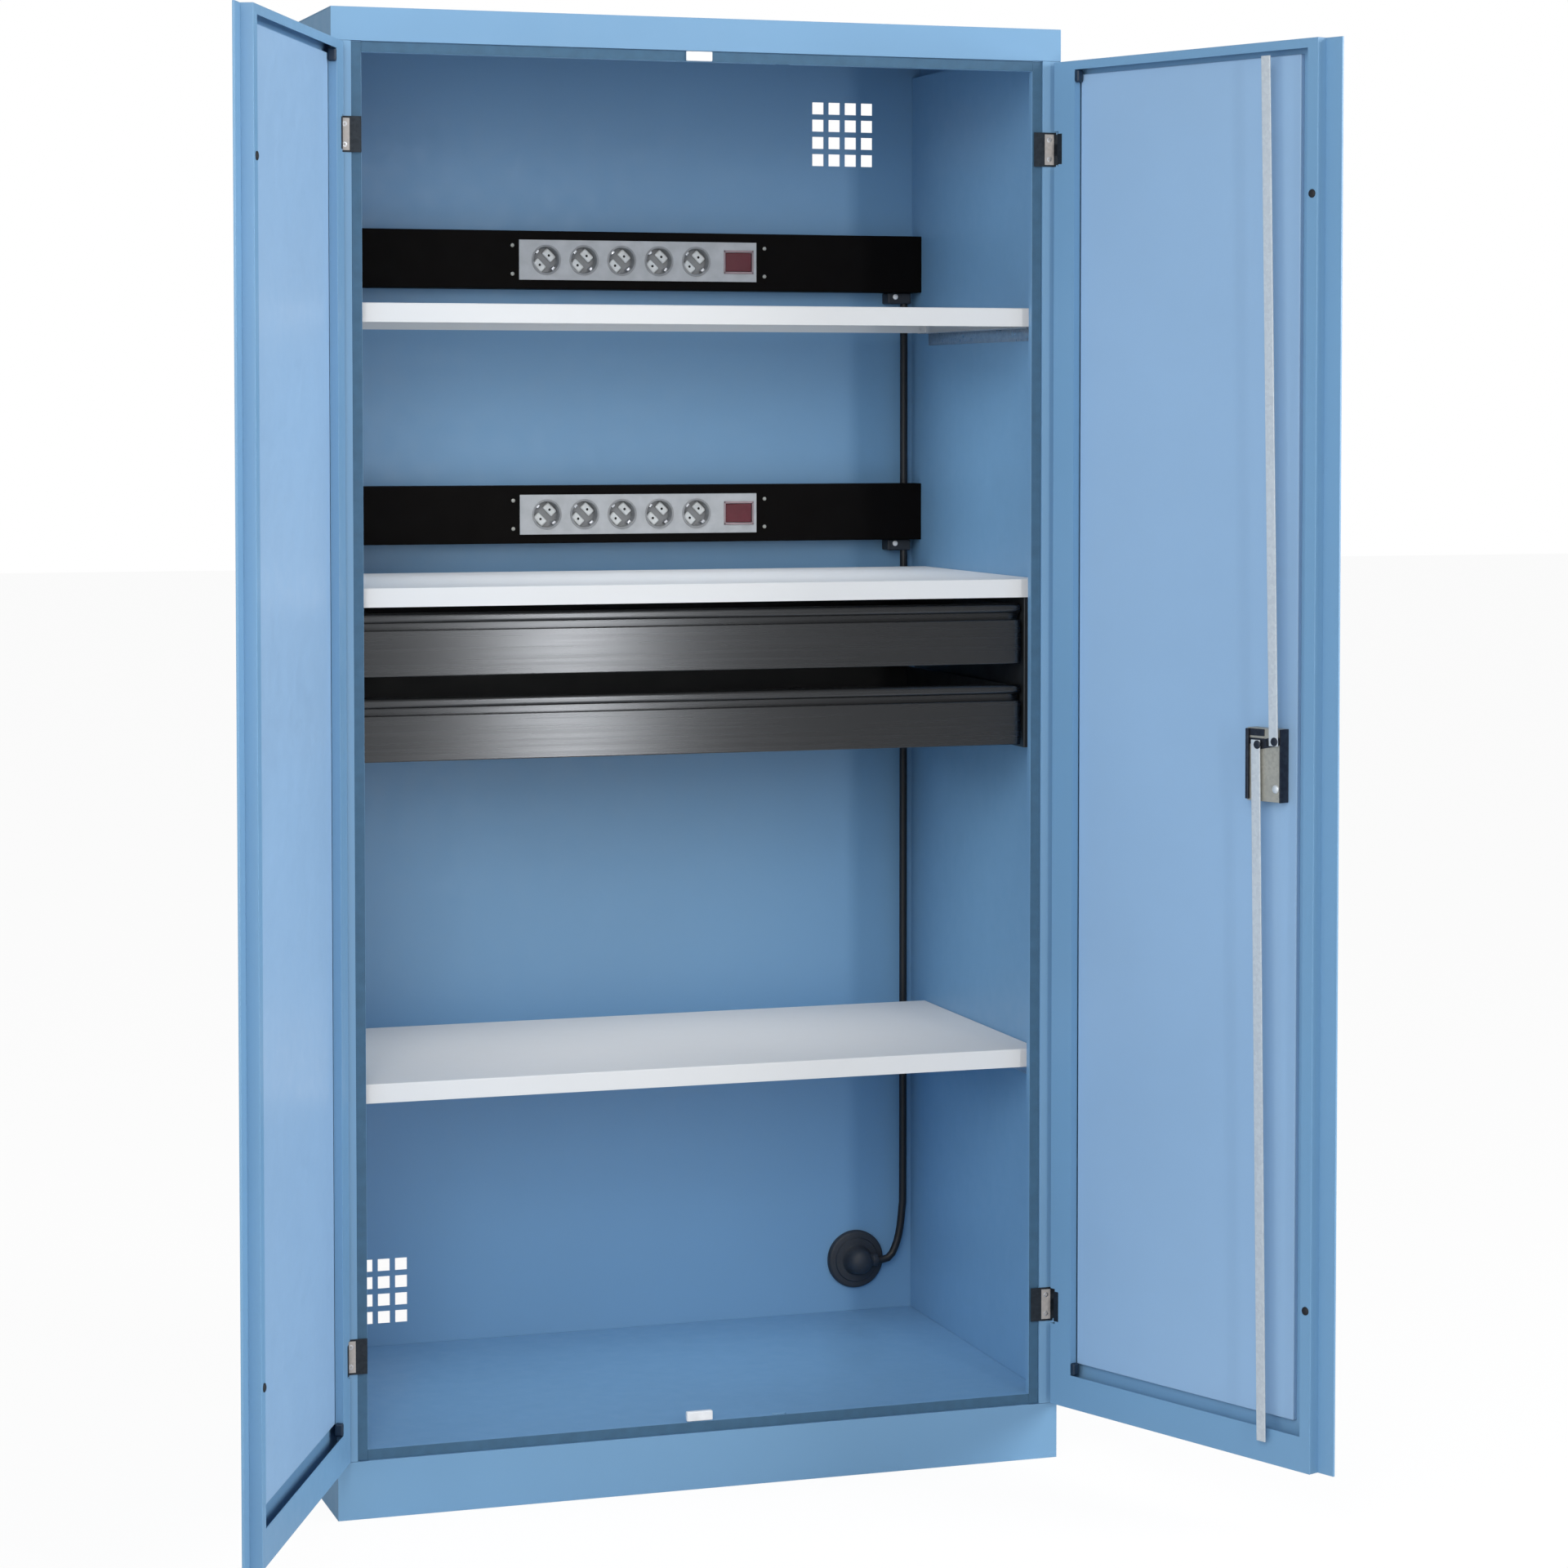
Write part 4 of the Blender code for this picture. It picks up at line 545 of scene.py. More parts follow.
def dome_profile(radius: float, height: float, rim: float, steps: int = 6) -> list[Span]:
    """Return the profile of a low domed head.

    Args:
        radius: radius of the head.
        height: height of the dome's top.
        rim: height of its upright rim.
        steps: steps of the dome.

    Returns:
        (radius, height) points from the foot's middle to the top.
    """
    points = [(0.0, 0.0), (radius, 0.0), (radius, rim)]
    for step in range(1, steps + 1):
        angle = math.pi / 2 * step / steps
        points.append((radius * math.cos(angle), rim + (height - rim) * math.sin(angle)))
    return points


STRIP_SCREW = dome_profile(0.0028, 0.0015, 0.0005)
CLIP_SCREW = dome_profile(0.0040, 0.0020, 0.0008)
PLATE_SCREW = dome_profile(0.0034, 0.0018, 0.0006)
LOCK_RIVET = dome_profile(0.0055, 0.0032, 0.0012)
DRIVE_PIN = dome_profile(0.0055, 0.0018, 0.0008)


def ring_profile(inner: float, outer: float, low: float, high: float, soft: float) -> list[Span]:
    """Return the closed profile of a ring with softened edges.

    Args:
        inner: inner radius.
        outer: outer radius.
        low: lower height.
        high: upper height.
        soft: size of the softening of its upper edges.

    Returns:
        (radius, height) points that end where they start.
    """
    knee = soft * 0.3
    return [(inner, low), (outer, low), (outer, high - soft), (outer - knee, high - knee),
            (outer - soft, high), (inner + soft, high), (inner + knee, high - knee), (inner, high - soft),
            (inner, low)]


def soften(shape: Shape, radius: float, segments: int, angle: float, least: float) -> Shape:
    """Round the edges of a shape where it turns outwards.

    Args:
        shape: the shape.
        radius: radius of the rounding.
        segments: its steps.
        angle: least angle of an edge that is rounded.
        least: least width of the faces beside a rounded edge.

    Returns:
        The same shape.
    """
    def wide(face: bmesh.types.BMFace) -> bool:
        """Say whether a face is wide enough."""
        return face.calc_area() / max(edge.calc_length() for edge in face.edges) > least

    bmesh.ops.recalc_face_normals(shape, faces=shape.faces)
    edges = [edge for edge in shape.edges
             if len(edge.link_faces) == 2 and edge.calc_face_angle_signed(0.0) > angle
             and all(wide(face) for face in edge.link_faces)]
    round_edges(shape, edges, radius, segments)
    return shape


def copied_node(node: str) -> Shape:
    """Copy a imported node's mesh, merged and with its flat faces whole.

    Args:
        node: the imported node.

    Returns:
        The shape.
    """
    shape = bmesh.new()
    shape.from_mesh(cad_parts[node].data)
    bmesh.ops.remove_doubles(shape, verts=shape.verts, dist=MERGE_REACH)
    bmesh.ops.dissolve_limit(shape, angle_limit=FLAT_ANGLE, verts=shape.verts, edges=shape.edges,
                             use_dissolve_boundaries=False)
    return shape


def mesh_of(name: str, shape: Shape) -> bpy.types.Mesh:
    """Make a mesh of a shape, and free the shape.

    Args:
        name: name of the mesh.
        shape: the shape.

    Returns:
        The mesh.
    """
    mesh = bpy.data.meshes.new(name)
    shape.to_mesh(mesh)
    shape.free()
    return mesh


def joined(*shapes: Shape) -> Shape:
    """Put several shapes into one, and free them.

    Args:
        shapes: the shapes.

    Returns:
        The whole.
    """
    whole = bmesh.new()
    for shape in shapes:
        mesh = mesh_of("part", shape)
        whole.from_mesh(mesh)
        bpy.data.meshes.remove(mesh)
    return whole


def placed_object(name: str, data: bpy.types.ID) -> bpy.types.Object:
    """Put an object into the scene.

    Args:
        name: name of the object.
        data: its mesh, curve, lamp or camera.

    Returns:
        The object.
    """
    thing = bpy.data.objects.new(name, data)
    bpy.context.collection.objects.link(thing)
    return thing


def cable_object(name: str, points: Sequence[Vector], radii: Sequence[float],
                 finish: Finish) -> bpy.types.Object:
    """Make a round cable along points as a curve of one spline.

    Args:
        name: name of the piece.
        points: its centreline.
        radii: its radius at each point.
        finish: its finish.

    Returns:
        The curve object.
    """
    curve = bpy.data.curves.new(name, "CURVE")
    curve.dimensions = "3D"
    curve.bevel_depth = max(radii)
    curve.bevel_resolution = 6
    curve.use_fill_caps = True
    spline = curve.splines.new("POLY")
    spline.points.add(len(points) - 1)
    for knot, place, radius in zip(spline.points, points, radii):
        knot.co = (*place, 1.0)
        knot.radius = radius / max(radii)
    spline.use_smooth = True
    curve.materials.append(finish.material())
    return placed_object(name, curve)


def smooth_route(knots: Sequence[Vector], spacing: float, dense_steps: int = 40) -> list[Vector]:
    """Return evenly spaced points on a smooth curve.

    Args:
        knots: points that the curve passes.
        spacing: distance between the returned points.
        dense_steps: steps between two knots in which its length is measured.

    Returns:
        The points.
    """
    ends = [2 * knots[0] - knots[1], *knots, 2 * knots[-1] - knots[-2]]
    dense = []
    for a, b, c, d in zip(ends, ends[1:], ends[2:], ends[3:]):
        for step in range(dense_steps):
            t = step / dense_steps
            dense.append(0.5 * (2 * b + (c - a) * t + (2 * a - 5 * b + 4 * c - d) * t ** 2
                                + (3 * b - a - 3 * c + d) * t ** 3))
    dense.append(ends[-2])
    lengths = [0.0]
    for p, q in zip(dense, dense[1:]):
        lengths.append(lengths[-1] + (q - p).length)
    count = max(2, round(lengths[-1] / spacing))
    route, at = [], 0
    for step in range(count + 1):
        wanted = lengths[-1] * step / count
        while at < len(dense) - 2 and lengths[at + 1] < wanted:
            at += 1
        share = (wanted - lengths[at]) / (lengths[at + 1] - lengths[at])
        route.append(dense[at].lerp(dense[at + 1], share))
    return route


@dataclass
class Assembly:
    """A sub-assembly of the cabinet that builds and dresses its pieces.

    Attributes:
        body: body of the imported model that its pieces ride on.
        lies: matrix from the assembly's own measures to the cabinet's.
    """

    body: str = "carcass"
    lies: Matrix = field(default_factory=lambda: Matrix.Identity(4))

    def add(self, name: str, shape: Shape, finish: Finish, slot: str, replaces: Sequence[str] = (),
            body: str = "", placed: bool = False) -> bpy.types.Object:
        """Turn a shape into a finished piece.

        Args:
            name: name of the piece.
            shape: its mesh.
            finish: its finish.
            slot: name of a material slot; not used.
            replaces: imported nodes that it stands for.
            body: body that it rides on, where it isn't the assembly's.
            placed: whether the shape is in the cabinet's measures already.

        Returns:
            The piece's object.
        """
        if not placed:
            bmesh.ops.transform(shape, matrix=self.lies, verts=shape.verts)
        bmesh.ops.recalc_face_normals(shape, faces=shape.faces)
        bmesh.ops.dissolve_degenerate(shape, dist=TINY_EDGE, edges=shape.edges)
        mesh = mesh_of(name, shape)
        mesh.shade_smooth()
        mesh.set_sharp_from_angle(angle=SHARP_ANGLE)
        mesh.materials.append(finish.material())
        thing = placed_object(name, mesh)
        flats = thing.modifiers.new("Flat faces stay flat", "WEIGHTED_NORMAL")
        flats.mode = "FACE_AREA"
        flats.keep_sharp = True
        return self.dress(thing, slot, replaces, body)

    def dress(self, thing: bpy.types.Object, slot: str, replaces: Sequence[str] = (),
              body: str = "") -> bpy.types.Object:
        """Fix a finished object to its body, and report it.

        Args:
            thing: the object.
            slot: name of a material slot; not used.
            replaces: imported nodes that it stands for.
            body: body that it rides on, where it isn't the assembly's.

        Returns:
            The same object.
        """
        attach(thing, body or self.body)
        if replaces:
            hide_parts(*replaces)
        LOG.info("%s rides on %s", thing.name, body or self.body)
        return thing

    def stand_in(self, node: str, suffix: str, finish: Finish, slot: str, radius: float, segments: int = 3,
                 angle: float = FOLD_ANGLE, least: float = 0.0, body: str = "") -> bpy.types.Object:
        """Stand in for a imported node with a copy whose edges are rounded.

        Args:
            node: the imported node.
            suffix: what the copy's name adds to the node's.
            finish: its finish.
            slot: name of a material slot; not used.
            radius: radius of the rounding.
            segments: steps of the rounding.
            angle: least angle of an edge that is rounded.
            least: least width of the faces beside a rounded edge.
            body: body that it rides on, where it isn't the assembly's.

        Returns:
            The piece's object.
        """
        shape = soften(copied_node(node), radius, segments, angle, least)
        return self.add(f"{node}.{suffix}", shape, finish, slot, (node,), body, placed=True)

    def fold(self, nodes: Iterable[str], finish: Finish, slot: str, radius: float, body: str = "") -> None:
        """Stand in for sheet metal nodes with copies whose folds are rounded."""
        for node in nodes:
            self.stand_in(node, "folded", finish, slot, radius, least=SHEET_LEAST, body=body)

    def coat(self, nodes: Iterable[str], finish: Finish) -> None:
        """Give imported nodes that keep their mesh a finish.

        Args:
            nodes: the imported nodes.
            finish: their finish.
        """
        for node in nodes:
            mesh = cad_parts[node].data
            mesh.materials.clear()
            mesh.materials.append(finish.material())
            LOG.info("%s keeps its mesh", node)


# Sub-assemblies


@dataclass(frozen=True)
class SoftBox:
    """A lamp with a flat front.

    Attributes:
        name: name of the lamp.
        place: where it hangs.
        target: what it points at.
        size: its width and height.
        power: its power in watts.
        spread: angle of its beam, in degrees.
    """

    name: str
    place: Point
    target: Point
    size: Span
    power: float
    spread: float = 180.0

    def hang(self) -> None:
        """Hang the lamp where the camera doesn't see it."""
        light = bpy.data.lights.new(self.name, "AREA")
        light.shape = "RECTANGLE"
        light.size, light.size_y = self.size
        light.energy = self.power
        light.spread = math.radians(self.spread)
        lamp = placed_object(self.name, light)
        lamp.location = self.place
        lamp.rotation_euler = (Vector(self.target) - Vector(self.place)).to_track_quat("-Z", "Y").to_euler()
        lamp.visible_camera = False


@dataclass
class Studio:
    """Camera, lamps, floor and the white surroundings.

    Attributes:
        camera_place: where the camera stands.
        camera_yaw: its turn to the right of +Y.
        camera_pitch: its tilt downwards.
        lens: focal length in millimetres.
        sensor: width of the sensor in millimetres.
        shift: vertical shift of the frame.
        sight: nearest and farthest distance that it sees.
        floor_reach: half the floor's width.
        floor_drop: how far the floor lies under the cabinet's feet.
        floor_grey: the floor's own colour in each channel.
        floor_roughness: roughness of the floor.
        floor_glow: strength of the white that the camera sees in the floor.
        floor_share: share of the floor's own shading in what the camera sees.
        sky: strength of the light from the surroundings.
        lamps: the soft boxes round the cabinet.
        fills: height and power of the small lamps under the roof and the shelves.
        fill_size: width and depth of such a lamp.
        fill_spread: angle of its beam, in degrees.
        fill_depths: depth of such a lamp, and of the point under it that it faces.
        fill_drop: how far that point lies under the lamp.
    """

    camera_place: Point = (-1.4909, -4.8886, 1.4341)
    camera_yaw: float = 0.3158
    camera_pitch: float = 0.045
    lens: float = 88.98
    sensor: float = 36.0
    shift: float = -0.126
    sight: Span = (0.05, 200.0)
    floor_reach: float = 30.0
    floor_drop: float = 0.0005
    floor_grey: float = 0.55
    floor_roughness: float = 0.9
    floor_glow: float = 1.07
    floor_share: float = 0.12
    sky: float = 0.285
    lamps: tuple[SoftBox, ...] = (
        SoftBox("key_lamp", (-3.0, -5.2, 4.6), (0.0, 0.2, 1.0), (3.0, 3.0), 124.0),
        SoftBox("strip_lamp", (1.00, -4.39, 1.5), (-0.17, 0.03, 1.02), (0.20, 3.0), 31.0),
        SoftBox("middle_lamp", (-2.1, -4.6, 2.1), (0.1, 0.3, 1.0), (1.4, 1.6), 46.0),
        SoftBox("left_lamp", (-4.6, -2.6, 1.4), (0.6, -0.25, 1.0), (2.6, 3.0), 66.0),
        SoftBox("right_lamp", (4.4, -2.6, 2.4), (-0.6, -0.25, 0.9), (2.2, 2.6), 200.0),
    )
    fills: tuple[Span, ...] = ((1.884, 0.50), (1.540, 0.84), (0.968, 0.78), (0.530, 0.62))
    fill_size: Span = (0.86, 0.36)
    fill_spread: float = 124.0
    fill_depths: Span = (0.28, 0.29)
    fill_drop: float = 0.3

    def set_camera(self) -> None:
        """Create the camera at the photograph's viewing angle."""
        lens = bpy.data.cameras.new("camera")
        lens.sensor_width = self.sensor
        lens.lens = self.lens
        lens.shift_y = self.shift
        lens.clip_start, lens.clip_end = self.sight
        camera = placed_object("camera", lens)
        camera.location = self.camera_place
        camera.rotation_euler = (math.pi / 2 - self.camera_pitch, 0.0, -self.camera_yaw)
        bpy.context.scene.camera = camera

    def mix(self, tree: bpy.types.NodeTree, factor: Socket, first: Socket, second: Socket,
            output: str) -> None:
        """Mix two shaders, and link them to a tree's output.

        Args:
            tree: the node tree.
            factor: share of the second shader.
            first: the first shader.
            second: the second shader.
            output: name of the output node.
        """
        mix = tree.nodes.new("ShaderNodeMixShader")
        tree.links.new(factor, mix.inputs["Fac"])
        tree.links.new(first, mix.inputs[1])
        tree.links.new(second, mix.inputs[2])
        tree.links.new(mix.outputs["Shader"], tree.nodes[output].inputs["Surface"])

    def lay_floor(self) -> None:
        """Lay a wide pale floor that keeps the cabinet's shadow."""
        shape = bmesh.new()
        bmesh.ops.create_grid(shape, x_segments=1, y_segments=1, size=self.floor_reach)
        bmesh.ops.translate(shape, vec=(0, 0, -self.floor_drop), verts=shape.verts)
        material = bpy.data.materials.new("pale studio floor")
        material.use_nodes = True
        tree = material.node_tree
        shader = tree.nodes["Principled BSDF"]
        shader.inputs["Base Color"].default_value = (*[self.floor_grey] * 3, 1.0)
        shader.inputs["Roughness"].default_value = self.floor_roughness
        shader.inputs["Specular IOR Level"].default_value = 0.0
        glow = tree.nodes.new("ShaderNodeEmission")
        glow.inputs["Strength"].default_value = self.floor_glow
        paths = tree.nodes.new("ShaderNodeLightPath")
        seen = tree.nodes.new("ShaderNodeMath")
        seen.operation = "MULTIPLY"
        seen.inputs[1].default_value = 1 - self.floor_share
        tree.links.new(paths.outputs["Is Camera Ray"], seen.inputs[0])
        self.mix(tree, seen.outputs["Value"], shader.outputs["BSDF"], glow.outputs["Emission"],
                 "Material Output")
        mesh = mesh_of("studio_floor", shape)
        mesh.materials.append(material)
        placed_object("studio_floor", mesh)

    def set_surroundings(self) -> None:
        """Make the surroundings white to the camera and through glass, and soft light elsewhere."""
        world = bpy.data.worlds.new("studio")
        bpy.context.scene.world = world
        world.use_nodes = True
        tree = world.node_tree
        soft, white = tree.nodes["Background"], tree.nodes.new("ShaderNodeBackground")
        for background, strength in ((soft, self.sky), (white, 1.0)):
            background.inputs["Color"].default_value = (1.0, 1.0, 1.0, 1.0)
            background.inputs["Strength"].default_value = strength
        paths = tree.nodes.new("ShaderNodeLightPath")
        either = tree.nodes.new("ShaderNodeMath")
        either.operation = "MAXIMUM"
        tree.links.new(paths.outputs["Is Camera Ray"], either.inputs[0])
        tree.links.new(paths.outputs["Is Transmission Ray"], either.inputs[1])
        self.mix(tree, either.outputs["Value"], soft.outputs["Background"], white.outputs["Background"],
                 "World Output")

    def build(self) -> None:
        """Set up everything around the cabinet."""
        bpy.context.scene.view_settings.view_transform = "Standard"
        self.set_camera()
        self.lay_floor()
        self.set_surroundings()
        for lamp in self.lamps:
            lamp.hang()
        for height, power in self.fills:
            SoftBox("fill_lamp", (0.0, self.fill_depths[0], height),
                    (0.0, self.fill_depths[1], height - self.fill_drop), self.fill_size, power,
                    self.fill_spread).hang()


@dataclass
class MainsLead(Assembly):
    """The lead behind the cabinet: nozzle relief, free stretch, coil, tie and plug.

    Attributes:
        diameter: diameter of the lead.
        start: where it leaves the nozzle.
        way_shares: the free stretch's knots: shares of the way across and behind, and of the height.
        spacing: distance between the free stretch's points, in diameters.
        coil_centre: middle of the coil, on the floor.
        coil_radius: radius of the coil, at the middle of its turns.
        coil_pitch: distance between two turns, side by side or one on the other.
        turns_per_layer: turns of each of the two layers.
        coil_steps: points of each turn.
        coil_tail: straight end between the coil and the plug.
        relief_length: length of the strain relief behind the nozzle.
        relief_inside: length of it inside the nozzle.
        relief_step: distance between its points.
        relief_root: its radius at the nozzle.
        relief_tip: its radius at the tip.
        relief_rib: height of its ribs.
        tie_width: width of the coil's tie.
        tie_sheet: thickness of the tie.
        tie_turn: radius of the tie's corners.
        tie_slack: gap between the tie and the turns.
        tie_shift: how far the tie's middle lies out of the turns' middle and behind the coil's.
        neck: profile of the plug's neck.
        plug_length: length of the plug's body.
        plug_radius: radius of the plug's body.
        groove_share: radius between the ribs, as a share of the plug's.
        rib_start: height of the first grip rib.
        rib_pitch: distance between the grip ribs.
        rib_count: number of grip ribs.
        pin_radius: radius of a pin.
        pin_length: length of a pin.
        pin_root: length of a pin inside the plug.
        pin_spacing: distance between the pins.
        strip_half: half the width of an earth strip.
        strip_reach: length of an earth strip along the plug.
    """

    diameter: float = 0.0112
    start: Point = (0.397, 0.5750, 0.1674)
    way_shares: tuple[Point, ...] = ((0.0, 0.22, 0.95), (0.04, 0.36, 0.74), (0.14, 0.43, 0.42),
                                     (0.36, 0.47, 0.12), (0.66, 0.54, 0.0), (0.92, 0.70, 0.0))
    spacing: float = 2.2
    coil_centre: Point = (0.235, 0.750, 0.0)
    coil_radius: float = 0.0605
    coil_pitch: float = 0.0132
    turns_per_layer: int = 2
    coil_steps: int = 24
    coil_tail: float = 0.036
    relief_length: float = 0.034
    relief_inside: float = 0.0155
    relief_step: float = 0.0012
    relief_root: float = 0.0093
    relief_tip: float = 0.0068
    relief_rib: float = 0.0006
    tie_width: float = 0.016
    tie_sheet: float = 0.0012
    tie_turn: float = 0.0048
    tie_slack: float = 0.0002
    tie_shift: Span = (0.001584, 0.006)
    neck: Profile = ((0.0, 0.0), (0.0088, 0.0), (0.0094, 0.002), (0.0098, 0.010), (0.0112, 0.0165))
    plug_length: float = 0.046
    plug_radius: float = 0.0185
    groove_share: float = 0.965
    rib_start: float = 0.0265
    rib_pitch: float = 0.0026
    rib_count: int = 5
    pin_radius: float = 0.0024
    pin_length: float = 0.019
    pin_root: float = 0.003
    pin_spacing: float = 0.019
    strip_half: float = 0.003
    strip_reach: float = 0.012

    def coil_points(self) -> list[Vector]:
        """Work out the coil with its straight ends.

        Returns:
            Points of its centreline.
        """
        radius = self.diameter / 2
        outer = self.coil_radius + self.coil_pitch * self.turns_per_layer / 2
        points = []
        for step in range(round((2 * self.turns_per_layer + 0.5) * self.coil_steps) + 1):
            turn = step / self.coil_steps
            climb = min(max((turn - self.turns_per_layer) / 0.5, 0.0), 1.0)
            inward = min(turn, self.turns_per_layer)
            outward = max(turn - self.turns_per_layer - 0.5, 0.0)
            reach = outer - self.coil_pitch * (inward - outward)
            angle = math.tau * turn
            points.append(Vector(self.coil_centre) + Vector((reach * math.cos(angle), reach * math.sin(angle),
                                                             radius + self.coil_pitch * climb)))
        first, last = points[0], points[-1]
        return [first + Vector((0, -self.diameter, 0)), *points, last + Vector((0, -self.coil_tail, 0))]

    def lead_points(self, end: Vector) -> list[Vector]:
        """Work out the free stretch from the nozzle to the coil.

        Args:
            end: where the coil starts.

        Returns:
            Points of its centreline.
        """
        radius = self.diameter / 2
        start = Vector(self.start)
        straight = Vector((0, self.diameter, 0))
        knots = [start + straight]
        for across, behind, up in self.way_shares:
            knots.append(Vector((start.x + (end.x - start.x) * across, start.y + (end.y - start.y) * behind,
                                 radius + (start.z - radius) * up)))
        knots.append(end - straight)
        points = [start, *smooth_route(knots, self.spacing * self.diameter), end]
        for point in points:
            point.z = max(point.z, radius)
        return points

    def build_relief(self, route: Sequence[Vector]) -> bpy.types.Object:
        """Make the ribbed strain relief that tapers along the lead.

        Args:
            route: points of the free stretch.

        Returns:
            The strain relief.
        """
        fine = smooth_route(list(route[:4]), self.relief_step)
        points = [Vector(self.start) - Vector((0, self.relief_inside, 0)), Vector(self.start)]
        travelled = 0.0
        for before, point in zip(fine, fine[1:]):
            travelled += (point - before).length
            if travelled > self.relief_length:
                break
            points.append(point)
        radii = []
        for index in range(len(points)):
            taper = max(index - 1, 0) / (len(points) - 2)
            rib = self.relief_rib if index > 1 and index % 4 < 2 else 0.0
            radii.append(self.relief_root + (self.relief_tip - self.relief_root) * taper + rib * (1 - taper))
        relief = cable_object("lead_strain_relief", points, radii, RUBBER)
        return self.dress(relief, "dark_rubber")

    def build_tie(self) -> bpy.types.Object:
        """Make the tape that holds the coil together.

        Returns:
            The tie.
        """
        aside, behind = self.tie_shift
        mid = Vector(self.coil_centre) + Vector((-self.coil_radius - aside, behind, 0))
        reach = self.coil_pitch + self.diameter * 0.5 + self.tie_sheet + self.tie_slack
        top = self.coil_pitch + self.diameter + self.tie_sheet + 2 * self.tie_slack
        half = self.tie_width / 2
        tie = box_shape((-reach, -half, PROUD), (reach, half, top), self.tie_turn, 5)
        bmesh.ops.delete(tie, geom=[face for face in tie.faces if abs(face.normal.y) > 0.7], context="FACES")
        bmesh.ops.recalc_face_normals(tie, faces=tie.faces)
        bmesh.ops.solidify(tie, geom=tie.faces[:], thickness=self.tie_sheet)
        bmesh.ops.translate(tie, vec=mid, verts=tie.verts)
        return self.add("coil_tie", tie, TIE_TAPE, "cable_black")

    def plug_profile(self) -> list[Span]:
        """Work out the profile of the plug's body, with its grip ribs.

        Returns:
            (radius, height) points from the neck to the face.
        """
        radius, length = self.plug_radius, self.plug_length
        groove = radius * self.groove_share
        profile = [*self.neck, (radius * 0.88, 0.0225), (radius * 0.94, 0.0245)]
        for rib in range(self.rib_count):
            base = self.rib_start + rib * self.rib_pitch
            profile += [(radius, base), (radius, base + 0.0014), (groove, base + 0.0018),
                        (groove, base + 0.0023)]
        return profile + [(radius, length * 0.88), (radius, length * 0.97), (groove, length), (0.0, length)]

    def build_plug(self, start: Vector) -> list[bpy.types.Object]:
        """Make the round plug, and its pins with the earth strips.

        Args:
            start: where the plug's neck starts.

        Returns:
            The plug and its pins.
        """
        plug = self.add("mains_plug.moulded", turned_shape(self.plug_profile(), start, steps=ROUND_STEPS),
                        BLACK_PLASTIC, "black_plastic", ("mains_plug",))
        face = start + Vector((0, -self.plug_length, 0))
        tip = self.pin_length + self.pin_root
        pin = ((0, 0), (self.pin_radius, 0), (self.pin_radius, tip - 0.0015),
               (self.pin_radius * 0.6, tip - SEAM), (0, tip))
        shapes = []
        for end in (-1, 1):
            shapes.append(turned_shape(pin, face + Vector((end * self.pin_spacing / 2, self.pin_root, 0))))
            height = start.z + (self.plug_radius - 0.0026) * end
            shapes.append(box_shape((start.x - self.strip_half, face.y - PROUD, height - 0.0022),
                                    (start.x + self.strip_half, face.y + self.strip_reach, height + 0.0022),
                                    0.0006))
        return [plug, self.add("plug_pins", joined(*shapes), ZINC, "zinc_steel")]

    def build(self) -> None:
        coil = self.coil_points()
        lead = self.lead_points(coil[0])
        route = [*lead, *coil[1:]]
        cord = cable_object("mains_cord", route, [self.diameter / 2] * len(route), SHEATH)
        self.dress(cord, "cable_black", ("mains_lead", "mains_lead_coil"))
        relief = self.build_relief(lead)
        tie = self.build_tie()
        plug, pins = self.build_plug(route[-1] + Vector((0, -SEAM, 0)))


